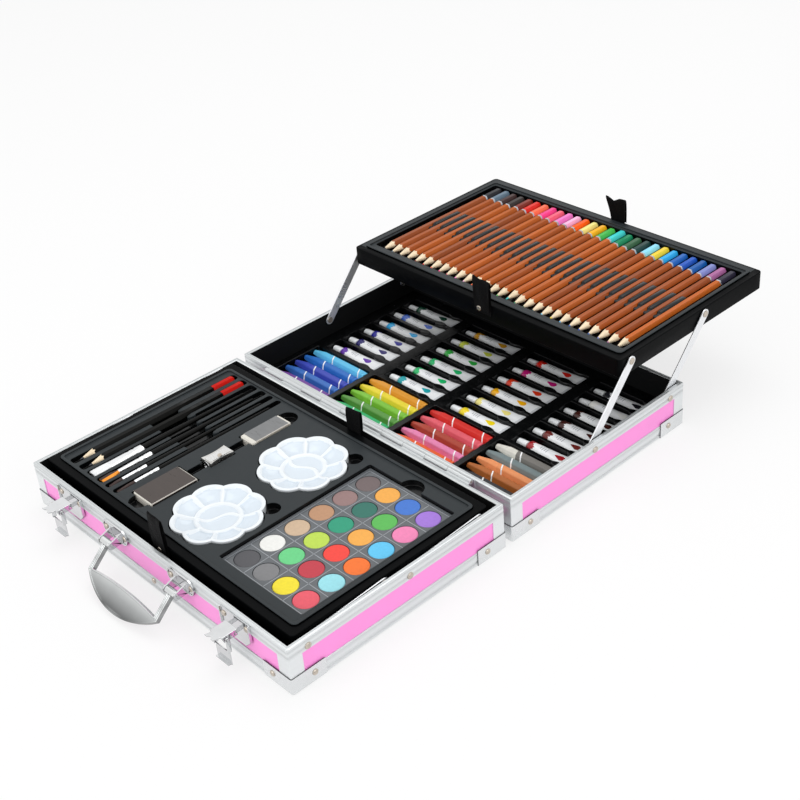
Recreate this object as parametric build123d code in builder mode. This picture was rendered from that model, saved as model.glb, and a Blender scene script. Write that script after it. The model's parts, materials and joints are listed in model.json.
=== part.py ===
"""Metal art set case, open flat, with its pencil tray raised on four flat arms.

Millimetres, +Z up. The case rests on its corner caps at z = 0. X runs along the piano hinge,
+Y points from the handle towards the raised tray, and the origin is under the middle of the whole.
Depths called d are measured from the hinge-side outer face of a half towards its far side.
Depths called w are measured from the hinge-side face of a tray towards its far side.
"""
import os
from math import asin, atan2, cos, degrees, hypot, radians, sin, sqrt

from build123d import *

os.makedirs("parts", exist_ok=True)

# Case halves
case_length = 370.0
half_depth = 240.0
half_height = 46.0
hinge_gap = 7.0
cap_sheet = 0.8
profile_sheet = 0.9
board_thick = 2.5
lining_thick = 0.8
rim_band = 11.5
rim_groove_width = 1.2
rim_groove_depth = 0.4
bottom_band = 14.0
bottom_flange = 12.0
post_band = 14.0
edge_radius = 1.5
seam = 0.1

# Corner caps and rivets
cap_arm = 35.0
cap_height = 16.0
cap_radius = 2.5
cap_bottom_radius = 0.6
cap_rivet_offset = 23.5
cap_rivet_height = 9.0
mid_rivet_height = 9.5
rivet_head_radius = 2.8
rivet_head_height = 1.1
rivet_shank_radius = 1.5
rivet_shank_length = 1.6
rivet_hole_radius = 1.55

# Piano hinge
hinge_length = 284.0
knuckle_count = 10
knuckle_radius = 2.4
knuckle_bore = 1.35
knuckle_gap = 0.4
hinge_pin_radius = 1.3
leaf_thick = 0.9
leaf_height = 16.0
leaf_rivet_pitch = 64.0
leaf_rivet_drop = 10.0

# Tray arms and their pivots
arm_reach = 85.0
arm_width = 9.5
arm_thick = 1.2
arm_eye_radius = 2.3
arm_slot_length = 6.4
raised_angle = 48.6
near_arm_extra = 5.0
arm_gap_extra = 2.0
pivot_height = 38.0
pivot_shank_radius = 2.0
pivot_hole_clearance = 0.05
pivot_head_radius = 3.2
pivot_outer_head = 1.0
pivot_inner_head = 0.5
pivot_side_play = 0.1
arm_spacer = 0.9

# Trays, measured when they lie in the case
tray_floor = 25.0
tray_setback = 12.5
tray_height = 18.5
tray_bottom = 2.0
tray_corner = 4.0
insert_margin_x = 6.9
insert_margin_y = 8.0
insert_play = 0.2
insert_corner = 5.0
border_width = 3.0
border_height = 1.5
pivot_embed = 4.0
tool_tray_proud = 4.0

# Ribbon pull tabs and studs
tab_x = 6.0
tab_width = 20.0
tab_thick = 1.2
tab_loop_width = 4.0
tab_rise = 23.0
tab_below_stud = 6.0
stud_height = 12.5
stud_radius = 2.2
stud_head = 0.9

# Coloured and graphite pencils
pencil_count = 28
pencil_flats = 7.0
pencil_cone = 16.0
lead_radius = 1.0
lead_length = 3.5
pencil_end_bevel = 0.9
pencil_recess_depth = 7.6
pencil_recess_margin = 3.5
pencil_tip_play = 1.2
recess_side_margin = 5.5
recess_near_margin = 10.0
recess_far_margin = 6.0
finger_ridge_length = 44.0
finger_ridge_gap = 1.5
finger_ridge_height = 7.2
finger_ridge_w = 96.0

# Rear insert, oil pastels and paint tubes
rear_insert_top = 20.0
rear_side_margin = 6.0
column_count = 4
row_count = 6
pastel_end_play = 0.8
pastel_flats = 10.2
pastel_tip_flats = 4.6
pastel_tip_length = 13.0
pastel_first_d = 16.6
pastel_gap = 2.6
pastel_pocket_depth = 10.4
pastel_wall = 6.4
pastel_pocket_corner = 2.0
wrapper_thick = 0.3
wrapper_start = 26.0
wrapper_end_bare = 3.0
tube_end_play = 1.0
tube_side_play = 1.1
tube_radius = 6.2
tube_tail_thick = 1.4
tube_crimp_length = 4.0
tube_shoulder = 3.0
tube_neck_radius = 2.6
tube_neck_length = 3.0
tube_cap_length = 12.0
tube_cap_radius = 4.4
tube_cap_tip_radius = 3.7
tube_block_gap = 14.5
tube_far_margin = 28.0
tube_shift_x = 4.0
tube_pocket_depth = 13.0
tube_end_wall = 14.4
tube_wall = 3.9
nub_length = 16.0
nub_width = 8.4
nub_thick = 4.2
nub_rise = 0.4
nub_from_tail = 13.0
nub_edge = 0.9

# Tool tray slots, measured from the far (handle) edge and from the left edge of its insert
slot_first_x = 15.6
wide_slot_pitch = 14.8
wide_slot_count = 4
thin_slot_pitch = 12.3
thin_slot_count = 2
wide_slot_width = 9.4
flat_slot_width = 12.0
thin_slot_width = 6.8
slot_start = 4.5
slot_end_margin = 4.5
pencil_front_play = 8.5
slot_depth = 5.6
slot_corner = 3.0
trough_start = 88.0
trough_length = 36.0
trough_depth = 6.0
item_play = 0.2
pocket_play = 1.0

# Brushes
brush_start_play = 3.0
brush_end_play = 13.0
flat_brush_width = 10.6
angle_brush_width = 8.4
brush_hair_length = 18.0
ferrule_length = 36.0
thin_ferrule_length = 26.0
handle_radius = 3.0
thin_handle_radius = 2.2
hair_thick = 2.6
handle_tail_radius = 1.3

# Erasers and sharpener
row_x = 113.0
eraser_big = (30.0, 50.0, 10.0)
eraser_small = (20.0, 46.0, 10.0)
sleeve_thick = 0.4
sleeve_bare = 5.0
eraser_big_start = 15.5
eraser_end_gap = 2.9
sharpener_width = 15.0
sharpener_length = 26.0
sharpener_height = 11.5
sharpener_proud = 3.6
sharpener_waist = 1.6
blade_thick = 0.8
blade_width = 8.6
item_proud = 1.6
row_notch_radius = 10.0
row_notch_front = 12.6
row_notch_end = 18.6
channel_width = 9.0

# Flower palettes
palette_start_x = 138.2
palette_side_gap = 4.6
palette_front_margin = 5.4
palette_back_margin = 14.0
palette_gap = 10.8
palette_lobes = 8
lobe_radius = 18.0
palette_height = 8.0
palette_rim = 3.4
palette_dish = 4.6
palette_well_depth = 6.4
palette_well_radius = 10.6
palette_well_ring = 29.5
palette_turn = 45.0
palette_centre_radius = 19.6
palette_centre_depth = 6.0
palette_divider = 1.2
palette_proud = 1.3
palette_notch_radius = 8.0
palette_notch_angle = 50.0

# Watercolour box
colour_end_margin = 7.8
colour_front_margin = 14.0
colour_back_margin = 17.6
pan_columns = 4
pan_margin_x = 2.3
pan_margin_y = 2.7
pan_gap = 3.1
pan_height = 4.2
pan_play = 0.3
colour_box_height = 8.0
colour_box_lip = 1.0
colour_box_wall = 2.0
colour_box_corner = 1.5
colour_box_sunk = 3.5
colour_box_play = 0.5
colour_box_notch = 12.0

# Draw latches, distances called out are measured away from the front wall
latch_x = 120.5
latch_base_width = 38.0
latch_base_low = 18.0
latch_base_high = 44.0
latch_base_taper = 9.0
latch_base_flange = 1.6
plate_thick = 1.0
latch_pivot_out = 7.0
latch_pivot_height = 34.0
latch_ear_gap = 10.0
latch_ear_radius = 2.1
latch_pin_radius = 1.1
latch_pin_play = 0.3
lever_width = 15.0
lever_inner = 2.2
lever_reach = 20.0
lever_roof = 2.5
lever_channel = 4.0
finger_tab_width = 11.0
finger_tab_rise = 1.5
finger_tab_start = 13.0
hook_pivot_reach = 9.0
hook_side_play = 0.9
hook_arm_width = 4.0
hook_arm_length = 13.0
hook_length = 26.0
hook_lip = 3.0
latch_rivet_x = 14.5
latch_rivet_height = 38.0
strike_width = 20.0
strike_low = 28.0
strike_high = 44.5
strike_ledge = 5.5

# Carry handle and its lugs
lug_x = 48.0
lug_length = 37.0
lug_height = 15.5
lug_centre_height = 37.0
lug_thick = 1.2
lug_rivet_x = 14.0
lug_ear_thick = 1.5
lug_edge = 1.4
lug_edge_rise = 0.8
handle_pivot_out = 11.0
handle_pivot_height = 32.0
handle_barrel_radius = 3.6
handle_barrel_length = 12.4
handle_pin_radius = 1.5
handle_pin_play = 0.3
lug_ear_radius = 3.8
handle_arm_width = 5.0
handle_arm_length = 27.0
handle_inner_length = 24.7
handle_inner_middle = 21.9
handle_outer_middle = 44.5
handle_thick = 5.0
handle_edge = 1.5
handle_groove = 0.9

# Worked-out sizes of the shell
board_inset = cap_sheet + profile_sheet
rim_width = 2 * profile_sheet + board_thick
space_length = case_length - 2 * (board_inset + board_thick)
space_depth = half_depth - 2 * (board_inset + board_thick)
floor_top = board_inset + board_thick + lining_thick
lining_top = half_height - rim_band - seam

# Worked-out sizes of the trays and their swing
arm_room = (half_depth - 2 * arm_reach - near_arm_extra - arm_gap_extra) / 3
near_pivot_d = arm_reach + arm_room + near_arm_extra
pivot_spacing = arm_reach + arm_room + arm_gap_extra
tray_depth = half_depth - 2 * tray_setback
swing_room = 2 * arm_spacer + arm_thick
tray_length = case_length - 2 * (cap_sheet + rim_width + swing_room)
tray_pivot_w = near_pivot_d - arm_reach - tray_setback
tray_pivot_rise = pivot_height - tray_floor
raise_y = arm_reach * (1 + cos(radians(raised_angle)))
resting_angle = 180 - degrees(asin(tool_tray_proud / arm_reach))
insert_length = tray_length - 2 * insert_margin_x
insert_depth = tray_depth - 2 * insert_margin_y

# Worked-out sizes of the pencils and their recess
recess_length = insert_length - 2 * recess_side_margin
recess_depth = insert_depth - recess_near_margin - recess_far_margin
pencil_pitch = (recess_length - 2 * pencil_recess_margin) / pencil_count
pencil_length = recess_depth - pencil_tip_play - pencil_recess_margin
recess_start_w = insert_margin_y + recess_near_margin
pencil_start_w = recess_start_w + pencil_tip_play
finger_ridge_width = pencil_pitch - pencil_flats - finger_ridge_gap

# Worked-out sizes of the pastels and tubes
content_pitch = (space_length - 2 * rear_side_margin) / column_count
pastel_pitch = pastel_flats + pastel_gap
pastel_pocket_length = content_pitch - pastel_wall
pastel_length = pastel_pocket_length - 2 * pastel_end_play
tube_first_d = pastel_first_d + (row_count - 0.5) * pastel_pitch + tube_block_gap
tube_pitch = (half_depth - tube_first_d - tube_far_margin) / (row_count - 1)
tube_pocket_length = content_pitch - tube_end_wall
tube_pocket_width = tube_pitch - tube_wall
tube_length = tube_pocket_length - 2 * tube_end_play - tube_cap_length - tube_shoulder
tube_tail_width = tube_pocket_width - 2 * tube_side_play

# Worked-out sizes of the tool tray's contents, along S from its far edge and along X from its left edge
slot_length = insert_depth - slot_start - slot_end_margin
brush_length = slot_length - brush_start_play - brush_end_play
row_notch_back = insert_depth - row_notch_end
eraser_small_start = row_notch_back - eraser_end_gap - eraser_small[1]
sharpener_start = (eraser_big_start + eraser_big[1] + eraser_small_start - sharpener_length) / 2
palette_radius = (insert_depth - palette_front_margin - palette_back_margin - palette_gap) / 4
palette_x = palette_start_x + palette_radius
palette_first = palette_front_margin + palette_radius
palette_pitch = 2 * palette_radius + palette_gap
colour_start_x = palette_x + palette_radius + palette_side_gap
colour_box_width = insert_length - colour_start_x - colour_end_margin
colour_box_length = insert_depth - colour_front_margin - colour_back_margin
colour_x = colour_start_x + colour_box_width / 2
colour_s = colour_front_margin + colour_box_length / 2
pan_pitch_x = (colour_box_width - 2 * pan_margin_x) / pan_columns
pan_pitch_y = (colour_box_length - 2 * pan_margin_y) / row_count
pan_radius = (min(pan_pitch_x, pan_pitch_y) - pan_gap) / 2

# Worked-out rest of the handle: its grip lies on the table
grip_reach = hypot(handle_outer_middle, handle_thick / 2)
handle_angle = degrees(asin(handle_pivot_height / grip_reach)
                       - atan2(handle_thick / 2, handle_outer_middle))
handle_y_reach = (handle_outer_middle * cos(radians(handle_angle))
                  + handle_thick / 2 * sin(radians(handle_angle)))

# The origin lies under the middle of the whole, so the hinge stands off it
front_reach = hinge_gap / 2 + half_depth - cap_sheet + handle_pivot_out + handle_y_reach
back_reach = hinge_gap / 2 + tray_setback + raise_y + tray_depth + tab_loop_width
hinge_y = (front_reach - back_reach) / 2


def half_y(side, d):
    """Y of a depth in a half: side 1 is the rear half, side -1 the front half."""
    return hinge_y + side * (hinge_gap / 2 + d)


def block(size_x, size_y, low, high, x=0.0, y=0.0, corner=0.0, mode=Mode.ADD):
    """Upright prism with a rectangular plan, in the part that is being built."""
    with BuildSketch(Plane(origin=(x, y, low))) as plan:
        if corner > 0:
            RectangleRounded(size_x, size_y, corner)
        else:
            Rectangle(size_x, size_y)
    extrude(plan.sketch, amount=high - low, mode=mode)


def disc(radius, low, high, places, mode=Mode.ADD):
    """Upright round prisms at a list of places."""
    with BuildSketch(Plane.XY.offset(low)) as plan:
        with Locations(*places):
            Circle(radius)
    extrude(plan.sketch, amount=high - low, mode=mode)


def facing(x, y, z, direction):
    """Place on a wall whose own Z points out along the given direction."""
    across = (0, 1, 0) if direction[0] else (1, 0, 0)
    return Plane(origin=(x, y, z), x_dir=across, z_dir=direction).location


def lying(x, y, z):
    """Place of a long thing that lies along Y with its tip towards -Y."""
    return Plane(origin=(x, y, z), x_dir=(1, 0, 0), z_dir=(0, 1, 0)).location


def lying_x(x, y, z):
    """Place of a long thing that lies along X with its tip towards -X."""
    return Plane(origin=(x, y, z), x_dir=(0, 1, 0), z_dir=(1, 0, 0)).location


def write(piece, name):
    """Label a finished piece and write it."""
    piece.part.label = name
    export_step(piece.part, f"parts/{name}.step")


# Fasteners that the loops below place
with BuildPart() as rivet:
    Cylinder(rivet_head_radius, rivet_head_height, align=(Align.CENTER, Align.CENTER, Align.MIN))
    chamfer(rivet.edges().sort_by(Axis.Z)[-1], rivet_head_height * 0.6)
    Cylinder(rivet_shank_radius, rivet_shank_length, align=(Align.CENTER, Align.CENTER, Align.MAX))

collar_depth = rim_width + arm_spacer - pivot_side_play
inner_head_depth = rim_width + arm_spacer + arm_thick + pivot_side_play
with BuildPart() as case_pivot:
    Cylinder(pivot_head_radius, pivot_outer_head, align=(Align.CENTER, Align.CENTER, Align.MIN))
    chamfer(case_pivot.edges().sort_by(Axis.Z)[-1], pivot_outer_head * 0.6)
    Cylinder(pivot_shank_radius, inner_head_depth, align=(Align.CENTER, Align.CENTER, Align.MAX))
    with Locations((0, 0, -rim_width)):
        Cylinder(pivot_head_radius, collar_depth - rim_width, align=(Align.CENTER, Align.CENTER, Align.MAX))
    with Locations((0, 0, -inner_head_depth)):
        Cylinder(pivot_head_radius, pivot_inner_head, align=(Align.CENTER, Align.CENTER, Align.MAX))

tray_head_start = arm_spacer + arm_thick + pivot_side_play
with BuildPart() as tray_pivot:
    Cylinder(pivot_shank_radius, pivot_embed, align=(Align.CENTER, Align.CENTER, Align.MAX))
    Cylinder(pivot_shank_radius, tray_head_start, align=(Align.CENTER, Align.CENTER, Align.MIN))
    Cylinder(pivot_head_radius, arm_spacer - pivot_side_play, align=(Align.CENTER, Align.CENTER, Align.MIN))
    with Locations((0, 0, tray_head_start)):
        Cylinder(pivot_head_radius, pivot_inner_head, align=(Align.CENTER, Align.CENTER, Align.MIN))

with BuildPart() as stud:
    Cylinder(stud_radius, stud_head, align=(Align.CENTER, Align.CENTER, Align.MIN))
    chamfer(stud.edges().sort_by(Axis.Z)[-1], stud_head * 0.5)


def cap_rivet_places(side):
    """Two rivets on each corner cap, one on each wall."""
    places = []
    for x_sign in (-1, 1):
        for d, y_sign in ((0, -side), (half_depth, side)):
            corner_y = half_y(side, d)
            places.append(facing(x_sign * case_length / 2, corner_y - y_sign * cap_rivet_offset,
                                 cap_rivet_height, (x_sign, 0, 0)))
            places.append(facing(x_sign * (case_length / 2 - cap_rivet_offset), corner_y,
                                 cap_rivet_height, (0, y_sign, 0)))
    return places


def case_pivot_places(side):
    """Outer rim faces where the tray arms are riveted."""
    face = case_length / 2 - cap_sheet
    return [facing(x_sign * face, half_y(side, near_pivot_d + k * pivot_spacing), pivot_height, (x_sign, 0, 0))
            for x_sign in (-1, 1) for k in (0, 1)]


def leaf_rivet_places(side):
    """Rivets that hold a hinge leaf to its rim, on the leaf's face in the gap."""
    face = half_y(side, cap_sheet - leaf_thick)
    return [facing((k - 1.5) * leaf_rivet_pitch, face, half_height - leaf_rivet_drop, (0, -side, 0))
            for k in range(4)]


front_wall = half_y(-1, half_depth - cap_sheet)
rear_wall = half_y(1, half_depth - cap_sheet)
latch_places = [facing(x_sign * latch_x + k * latch_rivet_x, front_wall - plate_thick, latch_rivet_height, (0, -1, 0))
                for x_sign in (-1, 1) for k in (-1, 1)]
lug_places = [facing(x_sign * lug_x + k * lug_rivet_x, front_wall - lug_thick, lug_centre_height, (0, -1, 0))
              for x_sign in (-1, 1) for k in (-1, 1)]
strike_rivet_height = (strike_low + half_height - rim_band) / 2 + rim_band / 2
strike_places = [facing(x_sign * latch_x + k * strike_width / 3, rear_wall + plate_thick,
                        strike_rivet_height, (0, 1, 0))
                 for x_sign in (-1, 1) for k in (-1, 1)]
mid_place = [facing(0, front_wall, mid_rivet_height, (0, -1, 0))]


def drill(places, radius, depth):
    """Holes into the walls at a list of places."""
    with Locations(*places):
        Cylinder(radius, 2 * depth, mode=Mode.SUBTRACT)


# Both halves of the shell
for half, side in (("rear", 1), ("front", -1)):
    middle = half_y(side, half_depth / 2)
    cap_holes = cap_rivet_places(side)
    rim_holes = leaf_rivet_places(side) + (strike_places if side == 1 else latch_places + lug_places)
    rim_drill = plate_thick + profile_sheet

    with BuildPart() as bottom_panel:
        block(space_length - 2 * seam, space_depth - 2 * seam, board_inset, board_inset + board_thick, y=middle)
    write(bottom_panel, f"{half}_bottom_panel")

    with BuildPart() as side_panels:
        board_top = half_height - profile_sheet
        for y_sign in (-1, 1):
            block(case_length - 2 * board_inset, board_thick, board_inset, board_top,
                  y=middle + y_sign * (space_depth + board_thick) / 2)
        for x_sign in (-1, 1):
            block(board_thick, space_depth - 2 * seam, board_inset, board_top,
                  x=x_sign * (space_length + board_thick) / 2, y=middle)
        drill(case_pivot_places(side), pivot_shank_radius + pivot_hole_clearance, rim_width)
        if side == -1:
            drill(mid_place, rivet_hole_radius, rivet_shank_length + seam)
    write(side_panels, f"{half}_side_panels")

    with BuildPart() as rim_profile:
        outer = (case_length - 2 * cap_sheet, half_depth - 2 * cap_sheet)
        block(*outer, half_height - rim_band, half_height, y=middle, corner=edge_radius)
        block(outer[0] - 2 * rim_width, outer[1] - 2 * rim_width, half_height - rim_band, half_height,
              y=middle, mode=Mode.SUBTRACT)
        with BuildSketch(Plane(origin=(0, middle, half_height - rim_band))) as board_slot:
            Rectangle(outer[0] - 2 * profile_sheet, outer[1] - 2 * profile_sheet)
            Rectangle(space_length, space_depth, mode=Mode.SUBTRACT)
        extrude(board_slot.sketch, amount=rim_band - profile_sheet, mode=Mode.SUBTRACT)
        with BuildSketch(Plane(origin=(0, middle, half_height - rim_groove_depth))) as groove:
            Rectangle(outer[0] - rim_width + rim_groove_width, outer[1] - rim_width + rim_groove_width)
            Rectangle(outer[0] - rim_width - rim_groove_width, outer[1] - rim_width - rim_groove_width,
                      mode=Mode.SUBTRACT)
        extrude(groove.sketch, amount=rim_groove_depth, mode=Mode.SUBTRACT)
        drill(case_pivot_places(side), pivot_shank_radius + pivot_hole_clearance, rim_width + seam)
        drill(rim_holes, rivet_hole_radius, rim_drill)
    write(rim_profile, f"{half}_rim_profile")

    with BuildPart() as bottom_profile:
        block(*outer, cap_sheet, bottom_band, y=middle, corner=edge_radius)
        block(outer[0] - 2 * profile_sheet, outer[1] - 2 * profile_sheet, board_inset, bottom_band,
              y=middle, mode=Mode.SUBTRACT)
        block(outer[0] - 2 * bottom_flange, outer[1] - 2 * bottom_flange, cap_sheet, board_inset,
              y=middle, mode=Mode.SUBTRACT)
        drill(cap_holes, rivet_hole_radius, board_inset)
        if side == -1:
            drill(mid_place, rivet_hole_radius, profile_sheet + seam)
    write(bottom_profile, f"{half}_bottom_profile")

    with BuildPart() as corner_posts:
        post_top = half_height - rim_band
        block(*outer, bottom_band, post_top, y=middle, corner=edge_radius)
        block(outer[0] - 2 * profile_sheet, outer[1] - 2 * profile_sheet, bottom_band, post_top,
              y=middle, mode=Mode.SUBTRACT)
        block(outer[0] - 2 * post_band, half_depth, bottom_band, post_top, y=middle, mode=Mode.SUBTRACT)
        block(case_length, outer[1] - 2 * post_band, bottom_band, post_top, y=middle, mode=Mode.SUBTRACT)
    write(corner_posts, f"{half}_corner_posts")

    with BuildPart() as corner_caps:
        block(case_length, half_depth, 0, cap_height, y=middle, corner=cap_radius)
        chamfer(corner_caps.edges().group_by(Axis.Z)[0], cap_bottom_radius)
        block(*outer, cap_sheet, cap_height, y=middle, mode=Mode.SUBTRACT)
        block(case_length - 2 * cap_arm, half_depth, 0, cap_height, y=middle, mode=Mode.SUBTRACT)
        block(case_length, half_depth - 2 * cap_arm, 0, cap_height, y=middle, mode=Mode.SUBTRACT)
        drill(cap_holes, rivet_hole_radius, board_inset)
    write(corner_caps, f"{half}_corner_caps")

    with BuildPart() as rivets:
        with Locations(*(cap_holes + rim_holes + (mid_place if side == -1 else []))):
            add(rivet.part)
        with Locations(*case_pivot_places(side)):
            add(case_pivot.part)
    write(rivets, f"{half}_rivets")

    with BuildPart() as lining:
        block(space_length - 2 * seam, space_depth - 2 * seam, board_inset + board_thick, lining_top, y=middle)
        block(space_length - 2 * (seam + lining_thick), space_depth - 2 * (seam + lining_thick),
              floor_top, lining_top, y=middle, mode=Mode.SUBTRACT)
    write(lining, f"{half}_lining")

    with BuildPart() as hinge_leaf:
        block(hinge_length, leaf_thick, half_height - leaf_height, half_height,
              y=half_y(side, cap_sheet - leaf_thick / 2))
        knuckle_pitch = hinge_length / knuckle_count
        for k in range(0 if side == 1 else 1, knuckle_count, 2):
            start = -hinge_length / 2 + k * knuckle_pitch + knuckle_gap / 2
            with BuildSketch(Plane(origin=(start, hinge_y, half_height), x_dir=(0, 1, 0), z_dir=(1, 0, 0))) as roll:
                Circle(knuckle_radius)
                with Locations((side * (hinge_gap / 2 + cap_sheet) / 2, -leaf_thick / 2)):
                    Rectangle(hinge_gap / 2 + cap_sheet, leaf_thick)
            extrude(roll.sketch, amount=knuckle_pitch - knuckle_gap)
        with Locations(Plane(origin=(0, hinge_y, half_height), z_dir=(1, 0, 0)).location):
            Cylinder(knuckle_bore, hinge_length, mode=Mode.SUBTRACT)
        drill(leaf_rivet_places(side), rivet_hole_radius, leaf_thick + seam)
    write(hinge_leaf, f"{half}_hinge_leaf")

with BuildPart() as hinge_pin:
    with Locations(Plane(origin=(0, hinge_y, half_height), z_dir=(1, 0, 0)).location):
        Cylinder(hinge_pin_radius, hinge_length)
write(hinge_pin, "hinge_pin")

# Strikes on the back wall, for the latch hooks
with BuildPart() as latch_strikes:
    for x_sign in (-1, 1):
        block(strike_width, plate_thick, strike_low, strike_high, x=x_sign * latch_x,
              y=rear_wall + plate_thick / 2)
        block(strike_width * 0.7, strike_ledge, strike_high - 1.2 * plate_thick, strike_high,
              x=x_sign * latch_x, y=rear_wall + strike_ledge / 2)
    drill(strike_places, rivet_hole_radius, plate_thick)
write(latch_strikes, "latch_strikes")

# Rear insert with open compartments for the pastels and a pocket for each tube
column_x = [(k - (column_count - 1) / 2) * content_pitch for k in range(column_count)]
pastel_d = [pastel_first_d + k * pastel_pitch for k in range(row_count)]
tube_d = [tube_first_d + k * tube_pitch for k in range(row_count)]
pastel_middle = (pastel_d[0] + pastel_d[-1]) / 2
with BuildPart() as rear_insert:
    block(space_length - 2 * (seam + lining_thick + insert_play),
          space_depth - 2 * (seam + lining_thick + insert_play),
          floor_top, rear_insert_top, y=half_y(1, half_depth / 2))
    for x in column_x:
        block(pastel_pocket_length, row_count * pastel_pitch, rear_insert_top - pastel_pocket_depth,
              rear_insert_top, x=x, y=half_y(1, pastel_middle), corner=pastel_pocket_corner, mode=Mode.SUBTRACT)
    for x in column_x:
        for d in tube_d:
            block(tube_pocket_length, tube_pocket_width, rear_insert_top - tube_pocket_depth,
                  rear_insert_top, x=x + tube_shift_x, y=half_y(1, d), mode=Mode.SUBTRACT)
    # Half-moon nubs on the walls between the tubes, which hold the flat tails down
    nub_x = tube_shift_x + tube_pocket_length / 2 - tube_end_play - nub_from_tail
    nub_d = [tube_first_d + (k - 0.5) * tube_pitch for k in range(row_count + 1)]
    with BuildPart(mode=Mode.PRIVATE) as nub:
        with BuildSketch(Plane.XY.offset(rear_insert_top + nub_rise - nub_thick)):
            Ellipse(nub_length / 2, nub_width / 2)
        extrude(amount=nub_thick)
        chamfer(nub.edges().group_by(Axis.Z)[-1], nub_edge)
    with Locations(*[(x + nub_x, half_y(1, d), 0) for x in column_x for d in nub_d]):
        add(nub.part)
write(rear_insert, "rear_insert")

# Oil pastels: six-sided sticks with a blunt tip, in paper sleeves
hexagon = 2 / sqrt(3)
with BuildPart() as pastel:
    with BuildSketch(Plane.XY):
        RegularPolygon(pastel_tip_flats / 2 * hexagon, 6)
    with BuildSketch(Plane.XY.offset(pastel_tip_length)):
        RegularPolygon(pastel_flats / 2 * hexagon, 6)
    loft()
    with BuildSketch(Plane.XY.offset(pastel_tip_length)):
        RegularPolygon(pastel_flats / 2 * hexagon, 6)
    extrude(amount=pastel_length - pastel_tip_length)

with BuildPart() as wrapper:
    with BuildSketch(Plane.XY.offset(wrapper_start)):
        RegularPolygon((pastel_flats / 2 + wrapper_thick) * hexagon, 6)
        RegularPolygon(pastel_flats / 2 * hexagon, 6, mode=Mode.SUBTRACT)
    extrude(amount=pastel_length - wrapper_start - wrapper_end_bare)

pastel_z = rear_insert_top - pastel_pocket_depth + item_play + wrapper_thick + pastel_flats / 2
pastel_places = [lying_x(x - pastel_length / 2, half_y(1, d), pastel_z) for x in column_x for d in pastel_d]
with BuildPart() as oil_pastels:
    with Locations(*pastel_places):
        add(pastel.part)
write(oil_pastels, "oil_pastels")

with BuildPart() as pastel_sleeves:
    with Locations(*pastel_places):
        add(wrapper.part)
write(pastel_sleeves, "pastel_sleeves")

# Paint tubes: round at the shoulder and pressed flat at the tail, with a screw cap
neck_end = tube_cap_length
shoulder_end = neck_end + tube_shoulder
with BuildPart() as tube:
    with BuildSketch(Plane.XY.offset(neck_end - tube_neck_length)):
        Circle(tube_neck_radius)
    extrude(amount=tube_neck_length)
    with BuildSketch(Plane.XY.offset(neck_end)):
        Circle(tube_neck_radius + 0.6)
    with BuildSketch(Plane.XY.offset(shoulder_end)):
        Circle(tube_radius)
    loft()
    with BuildSketch(Plane.XY.offset(shoulder_end)):
        Circle(tube_radius)
    with BuildSketch(Plane.XY.offset(shoulder_end + tube_length - tube_crimp_length)):
        Ellipse(tube_tail_width / 2, tube_tail_thick / 2)
    loft()
    with BuildSketch(Plane.XY.offset(shoulder_end + tube_length - tube_crimp_length)):
        Rectangle(tube_tail_width, tube_tail_thick)
    extrude(amount=tube_crimp_length)

with BuildPart() as tube_cap:
    Cone(tube_cap_tip_radius, tube_cap_radius, tube_cap_length, align=(Align.CENTER, Align.CENTER, Align.MIN))
    with Locations((0, 0, tube_cap_length)):
        Cylinder(tube_neck_radius + pivot_hole_clearance, tube_neck_length,
                 align=(Align.CENTER, Align.CENTER, Align.MAX), mode=Mode.SUBTRACT)

tube_z = rear_insert_top - tube_pocket_depth + item_play + tube_radius
tube_reach = shoulder_end + tube_length
tube_places = [lying_x(x + tube_shift_x - tube_reach / 2, half_y(1, d), tube_z) for x in column_x for d in tube_d]
with BuildPart() as paint_tubes:
    with Locations(*tube_places):
        add(tube.part)
write(paint_tubes, "paint_tubes")

with BuildPart() as tube_caps:
    with Locations(*tube_places):
        add(tube_cap.part)
write(tube_caps, "tube_caps")


# Trays: where each one lies at rest
class Tray:
    """A lift tray at rest: which way it runs from the hinge, and the angle its arms stand at."""

    def __init__(self, side, arm_angle):
        self.side = side
        self.arm_angle = arm_angle
        self.near = half_y(side, tray_setback + arm_reach * (1 + cos(radians(arm_angle))))
        self.floor = tray_floor + arm_reach * sin(radians(arm_angle))
        self.top = self.floor + tray_height
        self.middle = self.y(tray_depth / 2)
        self.far_insert_w = tray_depth - insert_margin_y

    def y(self, w):
        return self.near + self.side * w

    def from_far(self, s):
        """Y of a distance measured from the insert's far edge."""
        return self.y(self.far_insert_w - s)

    def pivot_places(self):
        return [facing(x_sign * tray_length / 2, self.y(tray_pivot_w + k * pivot_spacing),
                       self.floor + tray_pivot_rise, (x_sign, 0, 0)) for x_sign in (-1, 1) for k in (0, 1)]

    def stud_places(self):
        near_face = self.near - self.side * tab_thick
        far_face = self.y(tray_depth + tab_thick)
        return [facing(tab_x, near_face, self.floor + stud_height, (0, -self.side, 0)),
                facing(tab_x, far_face, self.floor + stud_height, (0, self.side, 0))]


pencil_tray = Tray(1, raised_angle)
tool_tray = Tray(-1, resting_angle)

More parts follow.
